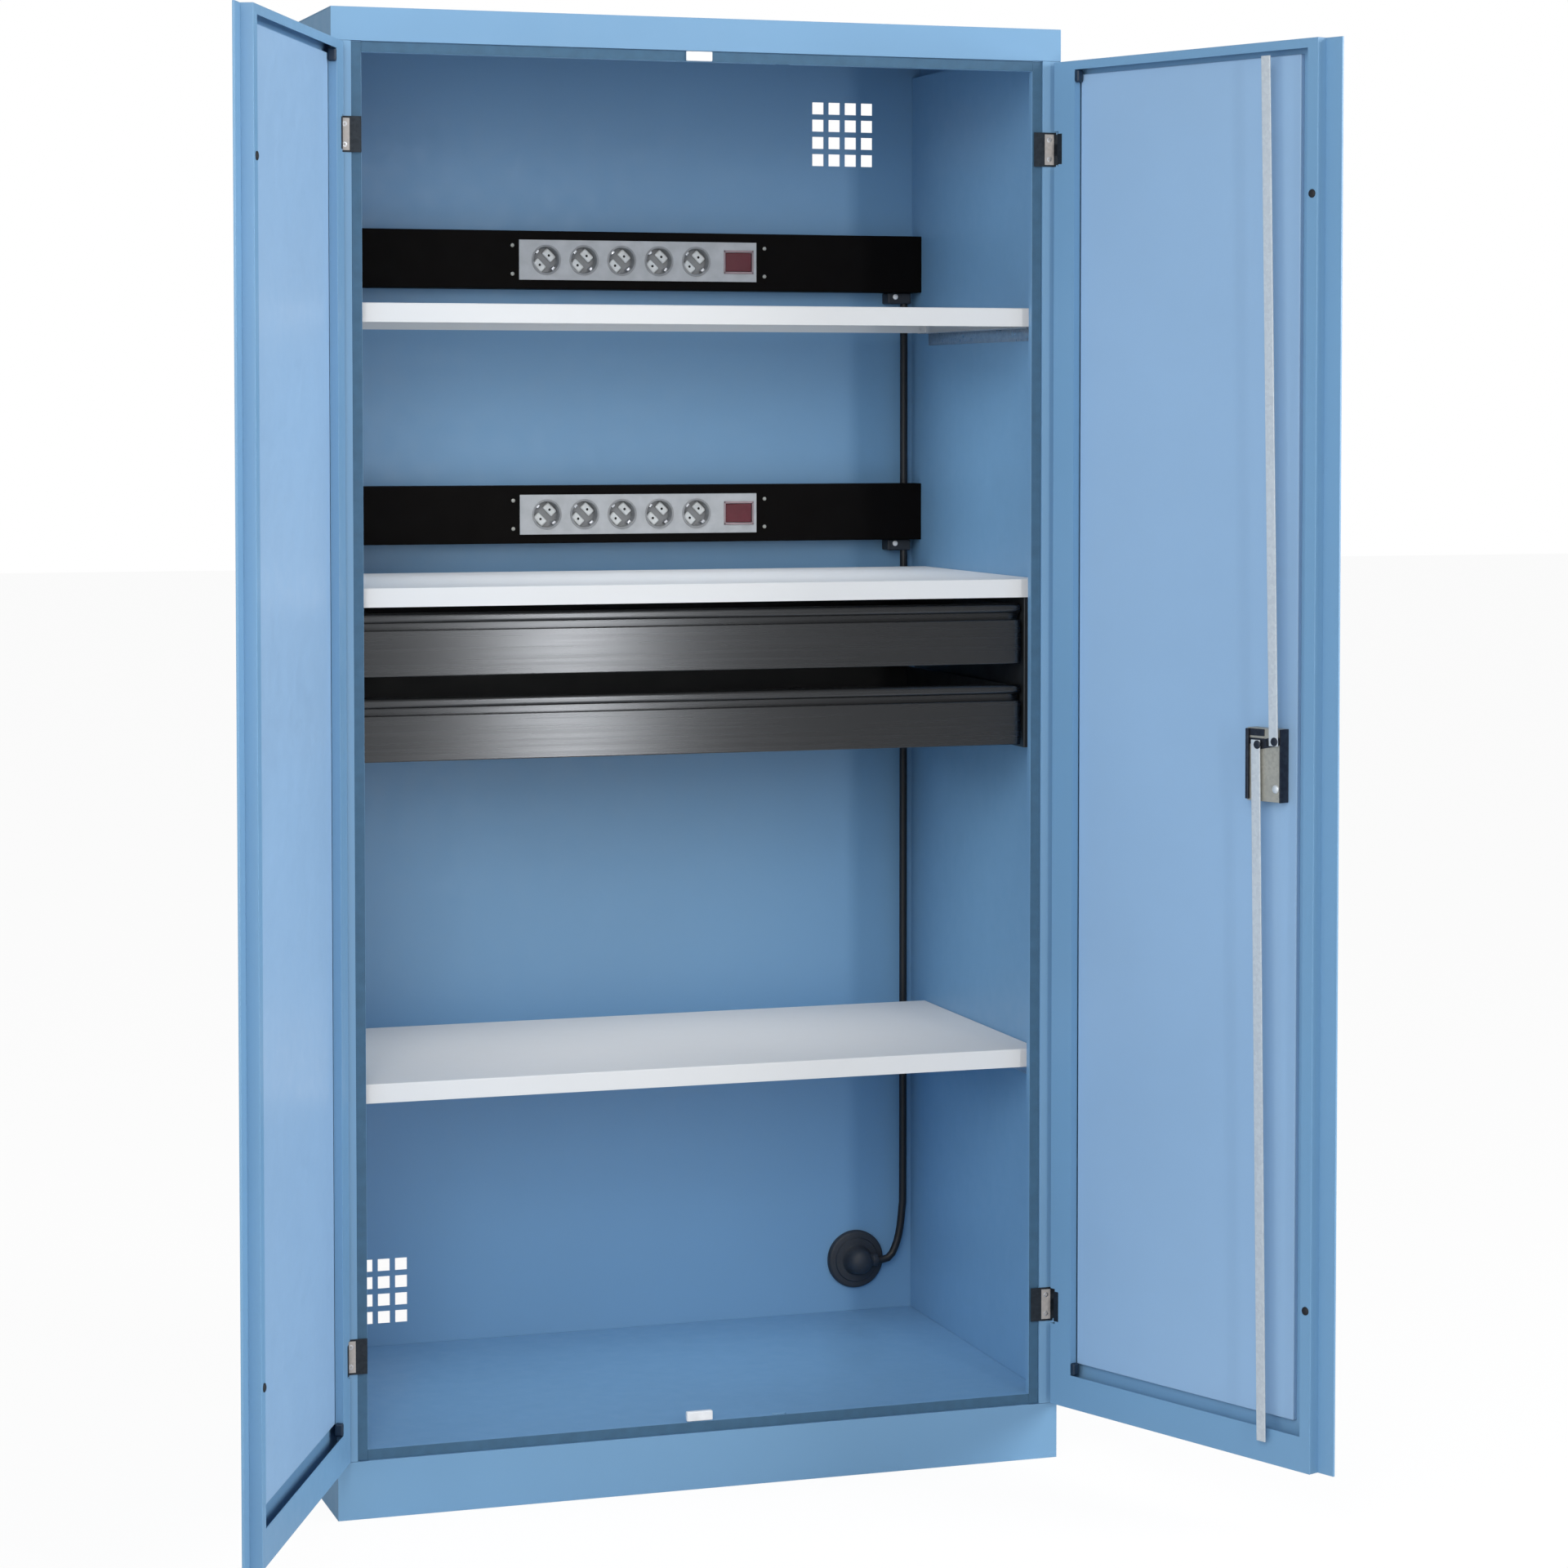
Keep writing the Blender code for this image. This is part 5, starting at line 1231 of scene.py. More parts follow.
@dataclass
class InnerCables(Assembly):
    """Link and feed cables, their clips and the outlet in the back wall.

    Attributes:
        diameter: diameter of both cables.
        cable_x: where the cables run.
        cable_y: their depth.
        channel_bottoms: heights of the two channels' lower edges.
        channel_height: height of a channel.
        link_steps: steps of the straight link cable.
        feed_spacing: distance between the feed cable's points.
        bend_drop: height of the feed cable's bend over the outlet.
        bend_shares: the bend's knots: share of the way across, and of the height.
        outlet: middle of the outlet, on the back wall's face.
        outlet_radius: radius of its flange.
        outlet_bore: radius of its collar in the wall's hole.
        outlet_steps: steps of the outlet's and the nozzle's rounding.
        collar: depth of the collar.
        rim_height: height of the flange's upright rim.
        crown_rise: rise of the flange's rounded edge over its rim.
        dome: profile of the outlet's dome.
        elbow_length: length of the sleeve from the outlet's middle.
        elbow_overlap: length of cable in the sleeve.
        sleeve: profile of the ribbed sleeve.
        sleeve_steps: steps of its rounding.
        nozzle_foot: height of the foot of the nozzle behind the wall.
        nozzle_root: how deep the nozzle sits in the wall.
        nozzle: profile of the nozzle after its foot.
        clip_round: radius of the cable clips' edges.
        clip_least: least width of the faces beside a rounded edge of a clip.
        clip_screw: a clip's screw: how far from its left side, and under the channel.
    """

    diameter: float = 0.0112
    cable_x: float = 0.4665
    cable_y: float = 0.530
    channel_bottoms: Span = (1.2454, 1.6100)
    channel_height: float = 0.083
    link_steps: int = 12
    feed_spacing: float = 0.010
    bend_drop: float = 0.120
    bend_shares: tuple[Span, ...] = ((1.0, 4.0), (1.0, 1.0), (0.97, 0.62), (0.84, 0.28), (0.58, 0.05),
                                     (0.30, 0.0))
    outlet: Point = (0.397, 0.5492, 0.1674)
    outlet_radius: float = 0.043
    outlet_bore: float = 0.0357
    outlet_steps: int = 64
    collar: float = 0.0090
    rim_height: float = 0.0040
    crown_rise: float = 0.0050
    dome: Profile = ((0.0335, 0.0095), (0.0320, 0.0118), (0.0230, 0.0122), (0.0205, 0.0150), (0.0190, 0.0240),
                     (0.0175, 0.0310), (0.0140, 0.0355), (0.0080, 0.0378), (0.0, 0.0382))
    elbow_length: float = 0.030
    elbow_overlap: float = 0.004
    sleeve: Profile = ((0.0, 0.0), (0.0094, 0.0), (0.0094, 0.0150), (0.0088, 0.0160), (0.0094, 0.0170),
                       (0.0094, 0.0200), (0.0088, 0.0210), (0.0094, 0.0220), (0.0094, 0.0250),
                       (0.0086, 0.0288), (0.0075, 0.0298), (0.0, 0.0298))
    sleeve_steps: int = 40
    nozzle_foot: float = 0.0120
    nozzle_root: float = 0.0002
    nozzle: Profile = ((0.0345, 0.0140), (0.0120, 0.0140), (0.0105, 0.0160), (0.0095, 0.0175),
                       (0.0095, 0.0252), (0.0, 0.0252))
    clip_round: float = 0.0022
    clip_least: float = 0.004
    clip_screw: Span = (0.0115, 0.0060)

    def lay_cable(self, node: str, points: Sequence[Vector]) -> None:
        """Stand in for a cable's node with a smooth round one along points."""
        cable = cable_object(f"{node}.round", points, [self.diameter / 2] * len(points), SHEATH)
        self.dress(cable, "cable_black", (node,))

    def build_cables(self) -> None:
        """Make the two cables smooth and round."""
        lower, upper = self.channel_bottoms
        top = Vector((self.cable_x, self.cable_y, upper - SEAM))
        bottom = Vector((self.cable_x, self.cable_y, lower + self.channel_height + SEAM))
        self.lay_cable("link_cable", [top.lerp(bottom, step / self.link_steps)
                                      for step in range(self.link_steps + 1)])
        elbow_end = self.outlet[0] + self.elbow_length - self.elbow_overlap
        sideways = self.cable_x - elbow_end
        knots = [Vector((self.cable_x, self.cable_y, lower - SEAM))]
        knots += [Vector((elbow_end + sideways * across, self.cable_y, self.outlet[2] + self.bend_drop * up))
                  for across, up in self.bend_shares]
        knots.append(Vector((elbow_end, self.cable_y, self.outlet[2])))
        self.lay_cable("feed_cable", smooth_route(knots, self.feed_spacing))

    def build_outlet(self) -> None:
        """Make the round outlet: stepped flange, dome, elbow sleeve and the nozzle behind the wall."""
        x, wall, z = self.outlet
        radius, bore, rim = self.outlet_radius, self.outlet_bore, self.rim_height
        profile = [(0.0, -self.collar), (bore, -self.collar), (bore, 0.0), (radius, 0.0), (radius, rim)]
        profile += [(radius - rim * (1 - math.cos(a)), rim + self.crown_rise * math.sin(a))
                    for a in (math.pi / 8, math.pi / 4, 3 * math.pi / 8, math.pi / 2)]
        body = turned_shape([*profile, *self.dome], (x, wall, z), Axis.FRONT,
                            self.outlet_steps)
        sleeve = turned_shape(self.sleeve, (x, self.cable_y, z), Axis.X, self.sleeve_steps)
        nozzle = turned_shape([(0.0, 0.0), (bore, 0.0), (bore, self.nozzle_foot), *self.nozzle],
                              (x, wall - self.nozzle_root, z), Axis.BACK, self.outlet_steps)
        self.add("cable_outlet.moulded", joined(body, sleeve, nozzle), RUBBER, "dark_rubber",
                 ("cable_outlet",))

    def build_clips(self) -> None:
        """Round the cable clips and give each its screw."""
        for name, bottom in zip(("lower", "upper"), self.channel_bottoms):
            node = f"cable_clip_{name}"
            self.stand_in(node, "rounded", RUBBER, "dark_rubber", self.clip_round, least=self.clip_least)
            low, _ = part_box(node)
            head = turned_shape(CLIP_SCREW, (low.x + self.clip_screw[0], low.y, bottom - self.clip_screw[1]))
            self.add(f"clip_screw_{name}", head, STOP_WHITE, "white_plastic")

    def build(self) -> None:
        """Build all of it."""
        self.build_cables()
        self.build_outlet()
        self.build_clips()


@dataclass
class Carcass(Assembly):
    """Roof, plinth, sides, liners, back, floor and the white stops.

    Attributes:
        sheet_fold: outer radius of the sheets' folds.
        stop_radius: radius of the stops' edges.
        opening: heights between which the upright strips of painted shade run.
        lip_xs: inner and outer edge of an upright strip of painted shade.
        head_lip: heights of the top strip's edges.
        sill_lip: heights of the bottom strip's edges.
        shade_strip_depths: front and rear face of the strips of painted shade.
        shade_strip_radius: radius of the strips' edges.
    """

    sheet_fold: float = 0.0013
    stop_radius: float = 0.0016
    opening: Span = (0.0764, 1.9060)
    lip_xs: Span = (0.4604, 0.4736)
    head_lip: Span = (1.8934, 1.9066)
    sill_lip: Span = (0.0764, 0.0898)
    shade_strip_depths: Span = (0.0029, 0.0042)
    shade_strip_radius: float = 0.0005

    def build_shade_strips(self) -> None:
        """Lay blue strips of painted shade on the lips round the opening, so that the recessed lips look
        shaded.
        """
        front, rear = self.shade_strip_depths
        strips = []
        for side in Side:
            low, high = sorted(side.value * x for x in self.lip_xs)
            strips.append(box_shape((low, front, self.opening[0]), (high, rear, self.opening[1]),
                                    self.shade_strip_radius))
        reach = self.lip_xs[0]
        for low, high in (self.sill_lip, self.head_lip):
            strips.append(box_shape((-reach, front, low), (reach, rear, high), self.shade_strip_radius))
        self.add("opening_shade_strips", joined(*strips), SHADE_STRIP_BLUE, "dark_rubber")

    def build(self) -> None:
        """Round the folds of the sheets and finish them."""
        self.build_shade_strips()
        self.fold(("roof_panel", "plinth", "left_side_panel", "right_side_panel", "floor_panel"), BODY_BLUE,
                  "body_blue", self.sheet_fold)
        self.coat(("back_panel", "left_side_liner", "right_side_liner"), BODY_BLUE)
        for node in ("door_stop_top", "door_stop_bottom"):
            self.stand_in(node, "rounded", STOP_WHITE, "white_plastic", self.stop_radius)


@dataclass
class Shelving(Assembly):
    """The three pale shelf trays and the angles that carry them.

    Attributes:
        tray_fold: outer radius of the trays' folds.
        angle_fold: outer radius of the angles' folds.
    """

    tray_fold: float = 0.0018
    angle_fold: float = 0.0008

    def build(self) -> None:
        """Round the trays and plate the angles."""
        self.fold([f"shelf_{name}" for name in ("upper", "middle", "lower")], SHELF_WHITE, "shelf_white",
                  self.tray_fold)
        self.fold([f"shelf_angle_{name}_{side.word}" for name in ("upper", "lower") for side in Side], ZINC,
                  "zinc_steel", self.angle_fold)


@dataclass
class PowerRail(Assembly):
    """One black channel with its socket strip, rocker switch and screws.

    Attributes:
        name: upper or lower.
        middle: height of the strip's middle line.
        channel_face: depth of the channel's front.
        channel_fold: outer radius of its folds.
        strip_face: depth of the strip's front.
        first_socket: x of the first socket.
        socket_pitch: distance between the sockets.
        socket_count: number of sockets.
        socket_radius: radius of a socket.
        socket_depth: depth of its cup.
        socket_steps: steps of its roundings.
        clip_turns: angles of its two earth clips.
        clip_half: half the width of an earth clip.
        pad_reach: distance of a shutter from the socket's middle.
        pad_half: half the width and the height of a shutter.
        hole_radius: radius of a pin hole.
        screw_xs: places of the channel's screws.
        screw_rise: their distance from the middle line.
        rocker_x: middle of the rocker.
        frame_outer: half the width and the height of the rocker's frame.
        frame_inner: the same of its opening.
        frame_sheet: how far the frame stands before the strip.
        rocker_round: radius of the rocker's edges.
    """

    name: str = "upper"
    middle: float = 1.6515
    channel_face: float = 0.507
    channel_fold: float = 0.0016
    strip_face: float = 0.5042
    first_socket: float = -0.0867
    socket_pitch: float = 0.056
    socket_count: int = 5
    socket_radius: float = 0.0195
    socket_depth: float = 0.0170
    socket_steps: int = 56
    clip_turns: Span = (math.pi * 0.75, -math.pi * 0.25)
    clip_half: float = 0.0030
    pad_reach: float = 0.0102
    pad_half: Span = (0.0059, 0.0094)
    hole_radius: float = 0.0027
    screw_xs: Span = (-0.1360, 0.2420)
    screw_rise: float = 0.0203
    rocker_x: float = 0.2017
    frame_outer: Span = (0.0225, 0.0170)
    frame_inner: Span = (0.0202, 0.0140)
    frame_sheet: float = 0.0014
    rocker_round: float = 0.0011

    def build_channel(self) -> None:
        """Round the channel's folds and set its four screws."""
        self.fold((f"power_channel_{self.name}",), CHANNEL_BLACK, "black_metal", self.channel_fold)
        screws = [turned_shape(STRIP_SCREW, (x, self.channel_face + PROUD, self.middle + rise))
                  for x in self.screw_xs for rise in (-self.screw_rise, self.screw_rise)]
        self.add(f"strip_screws_{self.name}", joined(*screws), LOCK_PLATING, "zinc_steel")

    def cup(self, place: Point) -> Shape:
        """Make a socket's bezel and cup.

        Args:
            place: middle of the socket.

        Returns:
            The shape.
        """
        radius, floor = self.socket_radius, -self.socket_depth
        bezel = ring_profile(radius - 0.0006, radius + 0.0022, -0.0010, 0.0009, 0.0007)
        cup = [(0.0, floor + 0.0010), (radius - 0.0022, floor + 0.0010), (radius - 0.0012, floor + 0.0022),
               (radius - 0.0007, -0.0004), (radius - 0.0001, -0.0004), (radius - 0.0001, floor + 0.0002),
               (0.0, floor + 0.0002)]
        return joined(*(turned_shape(profile, place, steps=self.socket_steps) for profile in (bezel, cup)))

    def earth_clips(self, place: Point) -> Shape:
        """Make a socket's two earth clips.

        Args:
            place: middle of the socket.

        Returns:
            The shape.
        """
        radius, floor, half = self.socket_radius, -self.socket_depth, self.clip_half
        clips = []
        for turn in self.clip_turns:
            block = box_shape((radius - 0.0048, -half, floor + 0.0008), (radius - 0.0006, half, -0.0060),
                              0.0007)
            bmesh.ops.transform(block, matrix=Matrix.Translation(Vector(place)) @ Axis.FRONT.turn
                                @ Matrix.Rotation(turn, 4, "Z"), verts=block.verts)
            clips.append(block)
        return joined(*clips)

    def slanted(self, place: Point, shapes: Sequence[Shape]) -> Shape:
        """Turn shapes to the slant of a socket's pin holes, and put them in their place.

        Args:
            place: middle of the socket.
            shapes: shapes in the socket's own measures.

        Returns:
            All of them as one.
        """
        spin = Matrix.Translation(Vector(place)) @ Matrix.Rotation(-math.pi / 4, 4, "Y")
        for shape in shapes:
            bmesh.ops.transform(shape, matrix=spin, verts=shape.verts)
        return joined(*shapes)

    def hole_at(self, end: int) -> Point:
        """Return the middle of a pin hole in the socket's own measures."""
        return end * self.pad_reach * 0.93, self.socket_depth - 0.0050, 0.0

    def shutters(self, place: Point) -> Shape:
        """Make a socket's two shutters, each with the ring round its pin hole.

        Args:
            place: middle of the socket.

        Returns:
            The shape.
        """
        depth, (half, rise) = self.socket_depth, self.pad_half
        shapes = []
        for end in (-1, 1):
            reach = end * self.pad_reach
            shapes.append(box_shape((reach - half, depth - 0.0052, -rise),
                                    (reach + half, depth - 0.0008, rise), 0.0024, 4))
            shapes.append(turned_shape(ring_profile(0.0018, 0.0031, 0.0, 0.0006, 0.0003), self.hole_at(end)))
        return self.slanted(place, shapes)

    def pin_hole_shades(self, place: Point) -> Shape:
        """Make black discs in a socket's two pin holes: painted shade of the holes' depth."""
        disc = ((0.0, 0.0), (self.hole_radius, 0.0), (self.hole_radius, 0.0003), (0.0, 0.0003))
        return self.slanted(place, [turned_shape(disc, self.hole_at(end)) for end in (-1, 1)])

    def build_strip(self) -> None:
        """Finish the strip's frame and fit its sockets."""
        node = f"socket_strip_{self.name}"
        self.add(f"{node}.frame", copied_node(node), STRIP_GREY, "grey_plastic", (node,))
        places = [(self.first_socket + index * self.socket_pitch, self.strip_face, self.middle)
                  for index in range(self.socket_count)]
        for kind, make, finish, slot in (("socket_cups", self.cup, SOCKET_GREY, "grey_plastic"),
                                         ("socket_shutters", self.shutters, SHUTTER_WHITE, "white_plastic"),
                                         ("earth_clips", self.earth_clips, ZINC, "zinc_steel"),
                                         ("pin_hole_shades", self.pin_hole_shades, HOLE_SHADE_BLACK, "black_plastic")):
            self.add(f"{kind}_{self.name}", joined(*(make(place) for place in places)), finish, slot)

    def build_rocker(self) -> None:
        """Frame the rocker and round its edges."""
        (half, rise), (inner_half, inner_rise) = self.frame_outer, self.frame_inner
        face = self.strip_face
        bars = []
        for low, high in (((-half, -rise), (-inner_half, rise)), ((inner_half, -rise), (half, rise)),
                          ((-half, inner_rise), (half, rise)), ((-half, -rise), (half, -inner_rise))):
            bars.append(box_shape((self.rocker_x + low[0], face - self.frame_sheet, self.middle + low[1]),
                                  (self.rocker_x + high[0], face - PROUD, self.middle + high[1]), 0.0005))
        self.add(f"rocker_frame_{self.name}", joined(*bars), SWITCH_ROSE, "grey_plastic")
        self.stand_in(f"rocker_{self.name}", "rounded", SWITCH_RED, "red_plastic", self.rocker_round,
                      angle=FINE_ANGLE, body=f"{self.name}_rocker")

    def build(self) -> None:
        """Build the rail."""
        self.build_channel()
        self.build_strip()
        self.build_rocker()


@dataclass
class Hinge(Assembly):
    """One hinge: its leaves, a pale plate with two screws on the stile, and a dark plate at the edge.

    Attributes:
        side: side of the cabinet.
        end: top or bottom.
        height: height of its middle.
        leaf_front: depth of the fixed leaf's front.
        plate_xs: inner and outer edge of the pale plate.
        plate_rise: half the height of both plates.
        plate_sheet: how far the pale plate stands before the leaf.
        plate_root: how deep both plates sit.
        edge_xs: inner and outer edge of the dark plate.
        edge_front: depth of the dark plate's front.
        screw_x: where the screws sit.
        screw_rise: their distance from the middle.
        screw: profile of a screw's head with its recess.
    """

    side: Side = Side.LEFT
    end: str = "top"
    height: float = 1.788
    leaf_front: float = -0.0015
    plate_xs: Span = (0.4766, 0.4896)
    plate_rise: float = 0.0205
    plate_sheet: float = 0.0001
    plate_root: float = 0.0002
    edge_xs: Span = (0.4932, 0.4996)
    edge_front: float = -0.0003
    screw_x: float = 0.4831
    screw_rise: float = 0.0130
    screw: Profile = ((0.0, -0.0004), (0.0034, -0.0004), (0.0034, 0.0), (0.0030, 0.0001), (0.0014, 0.0001),
                      (0.0012, -0.0002), (0.0, -0.0002))

    def flat(self, x_span: Span, y_span: Span, radius: float) -> Shape:
        """Make a plate on this hinge's side, as far above its middle as below.

        Args:
            x_span: distances of its edges from the cabinet's middle.
            y_span: depths of its faces.
            radius: radius of its edges.

        Returns:
            The shape.
        """
        low, high = sorted(self.side.value * x for x in x_span)
        return box_shape((low, y_span[0], self.height - self.plate_rise),
                         (high, y_span[1], self.height + self.plate_rise), radius)

    def build(self) -> None:
        """Finish the leaves, and add the plates and the screws."""
        which = f"{self.side.word}_{self.end}"
        self.stand_in(f"frame_hinge_{which}", "leaf", HINGE_DARK, "zinc_steel", 0.0005, 2, BLUNT_ANGLE, 0.001)
        self.coat((f"door_hinge_{which}",), HINGE_DARK)
        plate_front = self.leaf_front - self.plate_sheet
        plate = self.flat(self.plate_xs, (plate_front, self.leaf_front + self.plate_root), 0.00008)
        self.add(f"hinge_plate_{which}", plate, HINGE_PALE, "zinc_steel")
        edge = self.flat(self.edge_xs, (self.edge_front, self.plate_root), 0.0001)
        self.add(f"hinge_edge_{which}", edge, HINGE_DARK, "zinc_steel")
        screws = [turned_shape(self.screw, (self.side.value * self.screw_x, plate_front, self.height + rise))
                  for rise in (-self.screw_rise, self.screw_rise)]
        self.add(f"hinge_screws_{which}", joined(*screws), ZINC, "zinc_steel")


@dataclass
class Door(Assembly):
    """One door in its own measures: s from the pivot to the free edge, depth from its inner plane outwards.

    Attributes:
        side: side of the cabinet.
        open_angle: turn of the open door about +Z.
        pivot_x: distance of the pivot from the cabinet's middle.
        pivot_out: how far the pivot lies before the carcass.
        inner_plane: distance of the door's inner plane from the pivot.
        sheet_fold: outer radius of the sheets' folds.
        lip_end: s where the hinge side's lip ends.
        window: heights between which the inner sheet shows.
        clip_size: how far a corner clip reaches from the lip along s, and in height.
        clip_gap: gap between a clip and the corner.
        clip_depths: depths of its faces.
        clip_round: radius of its edges.
        buffer_s: place of the buffers.
        buffer_heights: their heights.
        buffer_radius: their radius.
        buffer_rise: how far they stand proud.
        leaf_span: span of the hinge leaves' ends along s.
        leaf_sheet: how far they stand proud.
        leaf_rise: half their height.
        hinge_heights: heights of the hinges' middles.
    """

    side: Side = Side.RIGHT
    open_angle: float = math.radians(112.4)
    pivot_x: float = 0.496
    pivot_out: float = 0.01114
    inner_plane: float = 0.00914
    sheet_fold: float = 0.0014
    lip_end: float = 0.034
    window: Span = (0.124, 1.8925)
    clip_size: Span = (0.0082, 0.0170)
    clip_gap: float = 0.0004
    clip_depths: Span = (-0.0003, 0.0105)
    clip_round: float = 0.0026
    buffer_s: float = 0.4593
    buffer_heights: Span = (1.7090, 0.2880)
    buffer_radius: float = 0.0054
    buffer_rise: float = 0.0026
    leaf_span: Span = (0.0024, 0.0112)
    leaf_sheet: float = 0.0001
    leaf_rise: float = 0.0205
    hinge_heights: Span = (0.2135, 1.788)

    def __post_init__(self) -> None:
        """Work out where the door lies."""
        self.body = f"{self.side.word}_door"
        self.lies = (Matrix.Translation((self.side.value * self.pivot_x, -self.pivot_out, 0.0))
                     @ Matrix.Rotation(self.open_angle, 4, "Z"))

    def at(self, s: float, depth: float, z: float) -> Point:
        """Return a point of the door in its hinge's measures."""
        return -self.side.value * s, self.inner_plane - depth, z

    def block(self, s_span: Span, depth_span: Span, z_span: Span, radius: float, segments: int = 3) -> Shape:
        """Make a block in the door's measures."""
        a, b = (self.at(*corner) for corner in zip(s_span, depth_span, z_span))
        return box_shape(tuple(map(min, a, b)), tuple(map(max, a, b)), radius, segments)

    def head(self, profile: Sequence[Span], s: float, depth: float, z: float,
             axis: Axis = Axis.BACK) -> Shape:
        """Make a turned head that stands on the door, towards the inside of the cabinet or outwards."""
        return turned_shape(profile, self.at(s, depth, z), axis)

    def build_buffers(self) -> None:
        """Press the rubber buffers into the closing lip and the dark clips into the hinge side's corners."""
        dome = dome_profile(self.buffer_radius, self.buffer_rise, 0.0008)
        buffers = [self.head(dome, self.buffer_s, PROUD, z) for z in self.buffer_heights]
        self.add(f"buffers_{self.side.word}", joined(*buffers), BUFFER_BLACK, "dark_rubber")
        low, high = self.window
        length, rise = self.clip_size
        gap = self.clip_gap
        reach = (self.lip_end + gap / 2, self.lip_end + length)
        clips = [self.block(reach, self.clip_depths, span, self.clip_round, 4)
                 for span in ((low + gap, low + rise), (high - rise, high - gap))]
        self.add(f"corner_clips_{self.side.word}", joined(*clips), CLIP_NAVY, "dark_rubber")

    def build_leaves(self) -> None:
        """Lay the dark ends of the hinges' leaves on the door's hinge side."""
        ends = [self.block(self.leaf_span, (-self.leaf_sheet, 0.0002),
                           (z - self.leaf_rise, z + self.leaf_rise), 0.0001) for z in self.hinge_heights]
        self.add(f"leaf_ends_{self.side.word}", joined(*ends), HINGE_DARK, "zinc_steel")

    def build(self) -> None:
        """Build the door's panels and small parts."""
        self.fold((f"{self.side.word}_door_shell",), BODY_BLUE, "door_blue", self.sheet_fold)
        # The liners take the lightened blue: painted light on the door pans
        self.fold((f"{self.side.word}_door_liner",), LIT_DOOR_BLUE, "door_blue", self.sheet_fold)
        self.build_buffers()
        self.build_leaves()


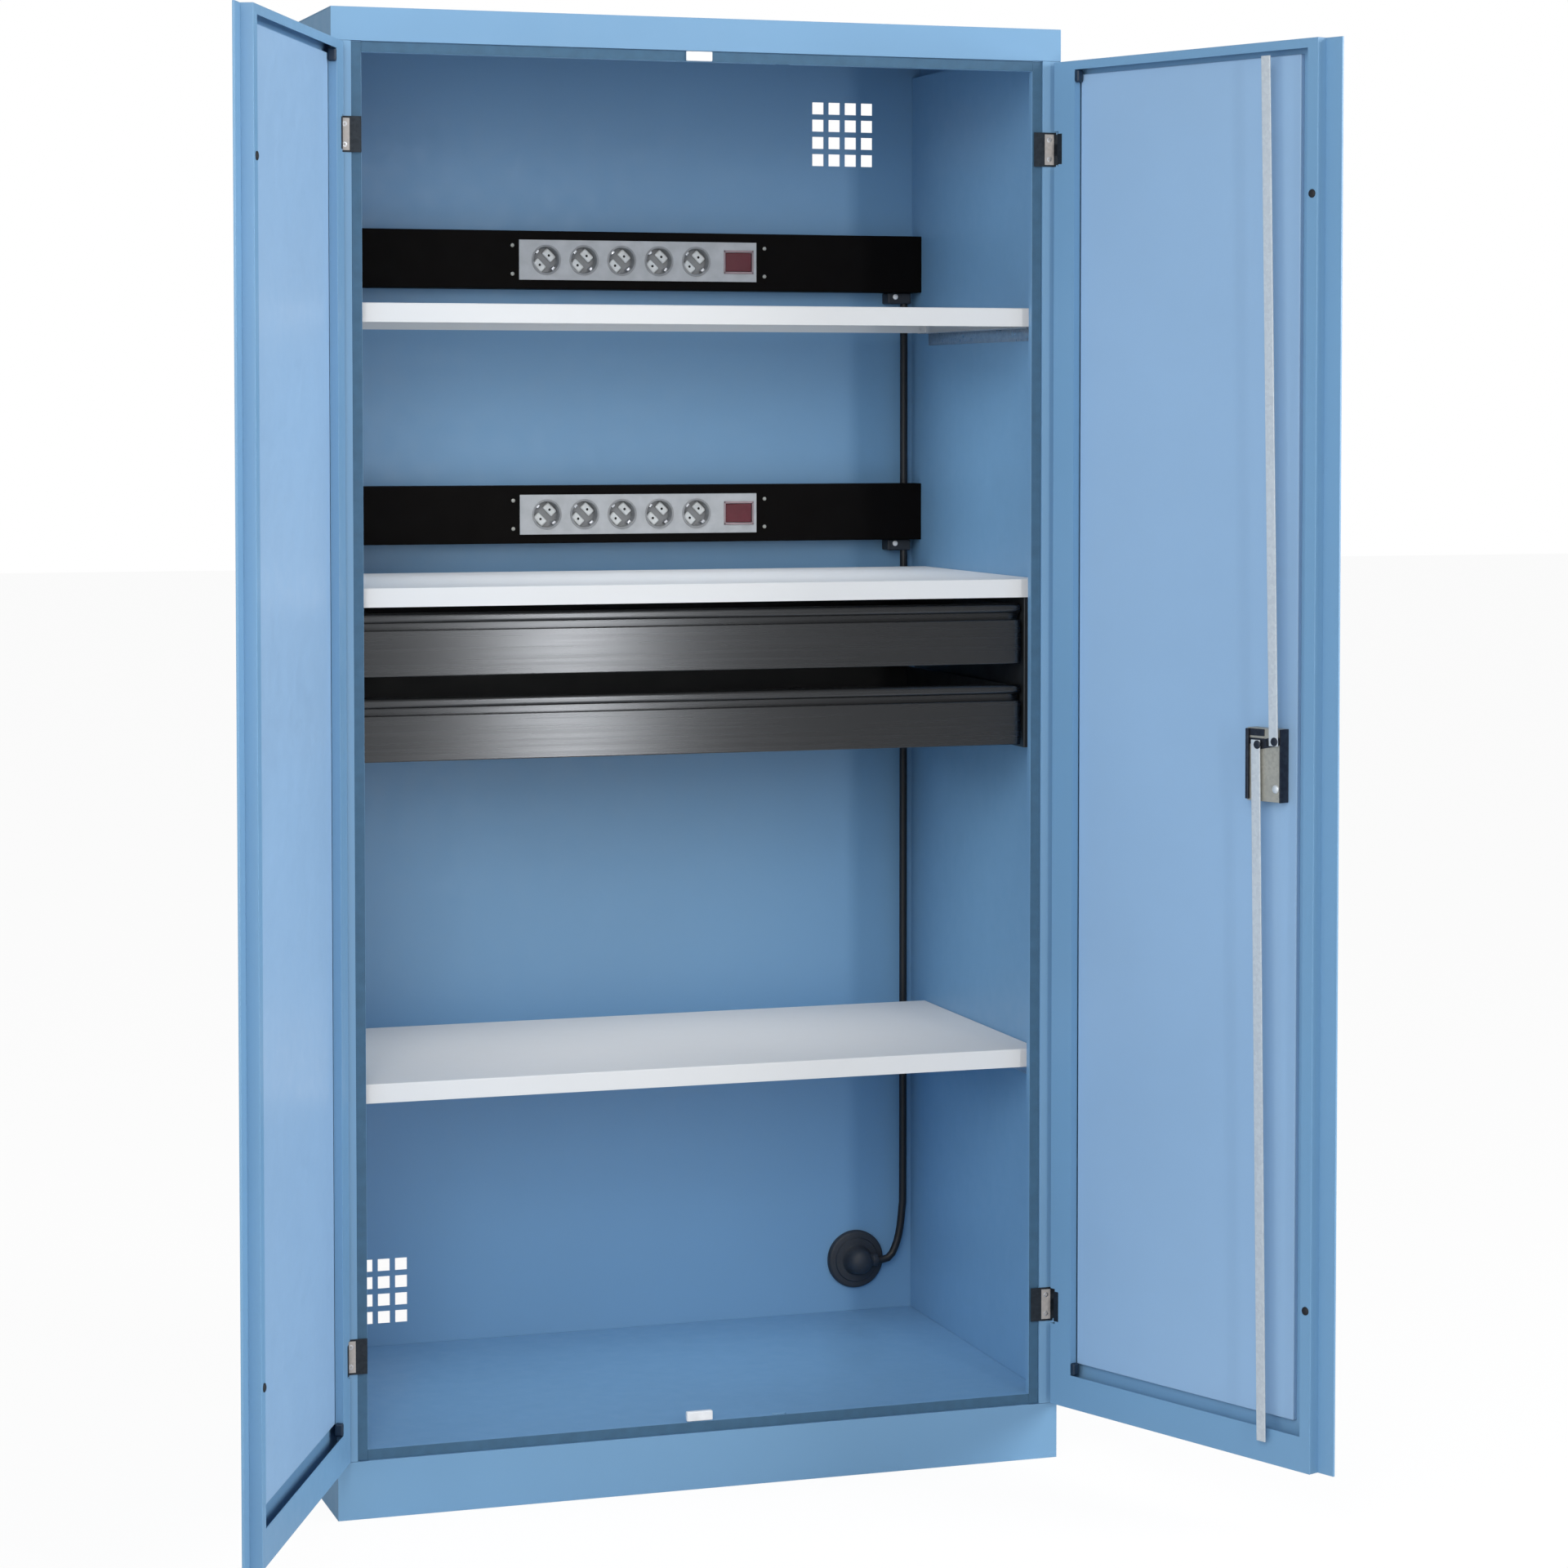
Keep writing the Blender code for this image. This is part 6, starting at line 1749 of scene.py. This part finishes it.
@dataclass
class Lock(Door):
    """The lock on the right door: case with its dark frame, cam, rods, plate, handle and key cylinder.

    Attributes:
        spindle: s and height of the handle's spindle.
        case_span: span of the case along s.
        case_heights: heights of its lower and upper end.
        case_fold: outer radius of its folds.
        case_face: depth of its face.
        case_base: depth of its foot.
        rim_top: depth of the top of its near flange.
        band_span: ends of the dark bands along s, from the case's near side.
        bands: each band's thickness, and how far its lower and upper edge lie under the case's top.
        rivet_at: s and height of its rivet.
        rod_face: depth of the rods' faces.
        drive_pins: name of each rod, with s and height of the cam's pin in it.
        plate_face: depth of the outer plate's face, under its screws.
        plate_screws: heights of the plate's screws over the spindle.
    """

    spindle: Span = (0.3956, 1.011)
    case_span: Span = (0.3586, 0.4158)
    case_heights: Span = (0.9353, 1.0293)
    case_fold: float = 0.0007
    case_face: float = -0.0048
    case_base: float = 0.0100
    rim_top: float = -0.0090
    band_span: Span = (0.0040, 0.0300)
    bands: tuple[Point, ...] = ((0.0012, 0.0100, 0.001), (0.0010, 0.0210, 0.013))
    rivet_at: Span = (0.4085, 0.9525)
    rod_face: float = -0.0106
    drive_pins: tuple[tuple[str, Span], ...] = (("upper", (0.4102, 1.0137)), ("lower", (0.3810, 1.0083)))
    plate_face: float = 0.0217
    plate_screws: Span = (0.0320, -0.0825)

    def build_case(self) -> None:
        """Dress the case with its dark flanges, the two dark bands near its top, and a rivet."""
        self.fold(("lock_case",), LOCK_PLATING, "lock_steel", self.case_fold)
        near, far = self.case_span
        low, high = self.case_heights
        base = self.case_face - PROUD
        near_flange = self.block((near, near + 0.0050), (self.rim_top, base), (low + 0.002, high - 0.001),
                                 0.0008)
        far_flange = self.block((far - 0.0014, far + 0.0004), (base - 0.0006, self.case_base),
                                (low - 0.0002, high), 0.0002)
        bands = [self.block((near + self.band_span[0], near + self.band_span[1]), (base - sheet, base),
                            (high - below, high - above), 0.0004) for sheet, below, above in self.bands]
        self.add("lock_flanges", joined(near_flange, far_flange, *bands), LOCK_DARK, "lock_steel")
        s, z = self.rivet_at
        self.add("lock_rivet", self.head(LOCK_RIVET, s, self.case_face, z), ROD_ZINC, "zinc_steel")

    def build_mechanism(self) -> None:
        """Finish the cam and the rods, and put heads on the cam's drive pins."""
        self.stand_in("lock_cam", "plated", LOCK_DARK, "zinc_steel", 0.0003, 2, BLUNT_ANGLE, body="handle")
        for name, _ in self.drive_pins:
            self.stand_in(f"lock_rod_{name}", "plated", ROD_ZINC, "zinc_steel", 0.0006, 2, BLUNT_ANGLE,
                          body=f"{name}_rod")
        for name, (s, z) in self.drive_pins:
            self.add(f"drive_pin_{name}", self.head(DRIVE_PIN, s, self.rod_face, z), LOCK_DARK, "zinc_steel",
                     body=f"{name}_rod")

    def build_outside(self) -> None:
        """Round the plate, the handle and the key cylinder, and set the plate's screws."""
        self.stand_in("lock_plate", "rounded", CHANNEL_BLACK, "black_metal", 0.0012, 3, PLATE_ANGLE, 0.002)
        self.stand_in("lock_handle", "rounded", BLACK_PLASTIC, "black_plastic", 0.0016, 3, BLUNT_ANGLE,
                      0.0015, "handle")
        self.stand_in("key_cylinder", "plated", ZINC, "zinc_steel", 0.0004, 2, BLUNT_ANGLE, body="key")
        s, z = self.spindle
        screws = [self.head(PLATE_SCREW, s, self.plate_face, z + rise, Axis.FRONT)
                  for rise in self.plate_screws]
        self.add("plate_screws", joined(*screws), ZINC, "zinc_steel")

    def build(self) -> None:
        """Build the lock."""
        self.build_case()
        self.build_mechanism()
        self.build_outside()


@dataclass
class Drawer(Assembly):
    """One brushed drawer with its rolled grip, tray and slides.

    Attributes:
        name: upper or lower.
        grip_round: radius of the rolled grip's edges.
        tray_fold: outer radius of the tray's folds.
        slide_fold: outer radius of the slides' folds.
    """

    name: str = "upper"
    grip_round: float = 0.0016
    tray_fold: float = 0.0010
    slide_fold: float = 0.0006

    def brush(self, thing: bpy.types.Object) -> None:
        """Lay the map that turns the highlights across the brushing.

        Args:
            thing: the drawer's front.
        """
        mesh = thing.data
        layer = mesh.uv_layers.new(name="Brushing")
        for loop in mesh.loops:
            place = mesh.vertices[loop.vertex_index].co
            layer.data[loop.index].uv = (place.z - place.y, place.x)

    def build(self) -> None:
        """Build the drawer's visible sheets."""
        body = f"{self.name}_drawer"
        self.brush(self.stand_in(f"drawer_front_{self.name}", "brushed", ANTHRACITE, "anthracite",
                                 self.grip_round, 4, FINE_ANGLE, 0.002, body))
        self.fold((f"drawer_tray_{self.name}",), DRAWER_STEEL, "anthracite", self.tray_fold, body)
        self.fold([f"drawer_slide_{self.name}_{side.word}" for side in Side], ZINC, "zinc_steel",
                  self.slide_fold)


def main() -> None:
    """Build the studio and every sub-assembly in order."""
    logging.basicConfig(level=logging.INFO, format="%(name)s: %(message)s")
    Studio().build()
    MainsLead().build()
    InnerCables().build()
    Carcass().build()
    Shelving().build()
    for name, middle in (("upper", 1.6515), ("lower", 1.2869)):
        PowerRail(name=name, middle=middle).build()
    for side in Side:
        for end, height in (("top", 1.788), ("bottom", 0.2135)):
            Hinge(side=side, end=end, height=height).build()
    Door(side=Side.LEFT, open_angle=math.radians(-114.2), buffer_s=0.4568,
         buffer_heights=(1.7296, 0.2930)).build()
    Door(side=Side.RIGHT).build()
    Lock(side=Side.RIGHT).build()
    for name in ("upper", "lower"):
        Drawer(name=name).build()
    Assembly().fold([f"drawer_cheek_{side.word}" for side in Side], DRAWER_STEEL, "anthracite", 0.0010)


if __name__ == "__main__":
    main()
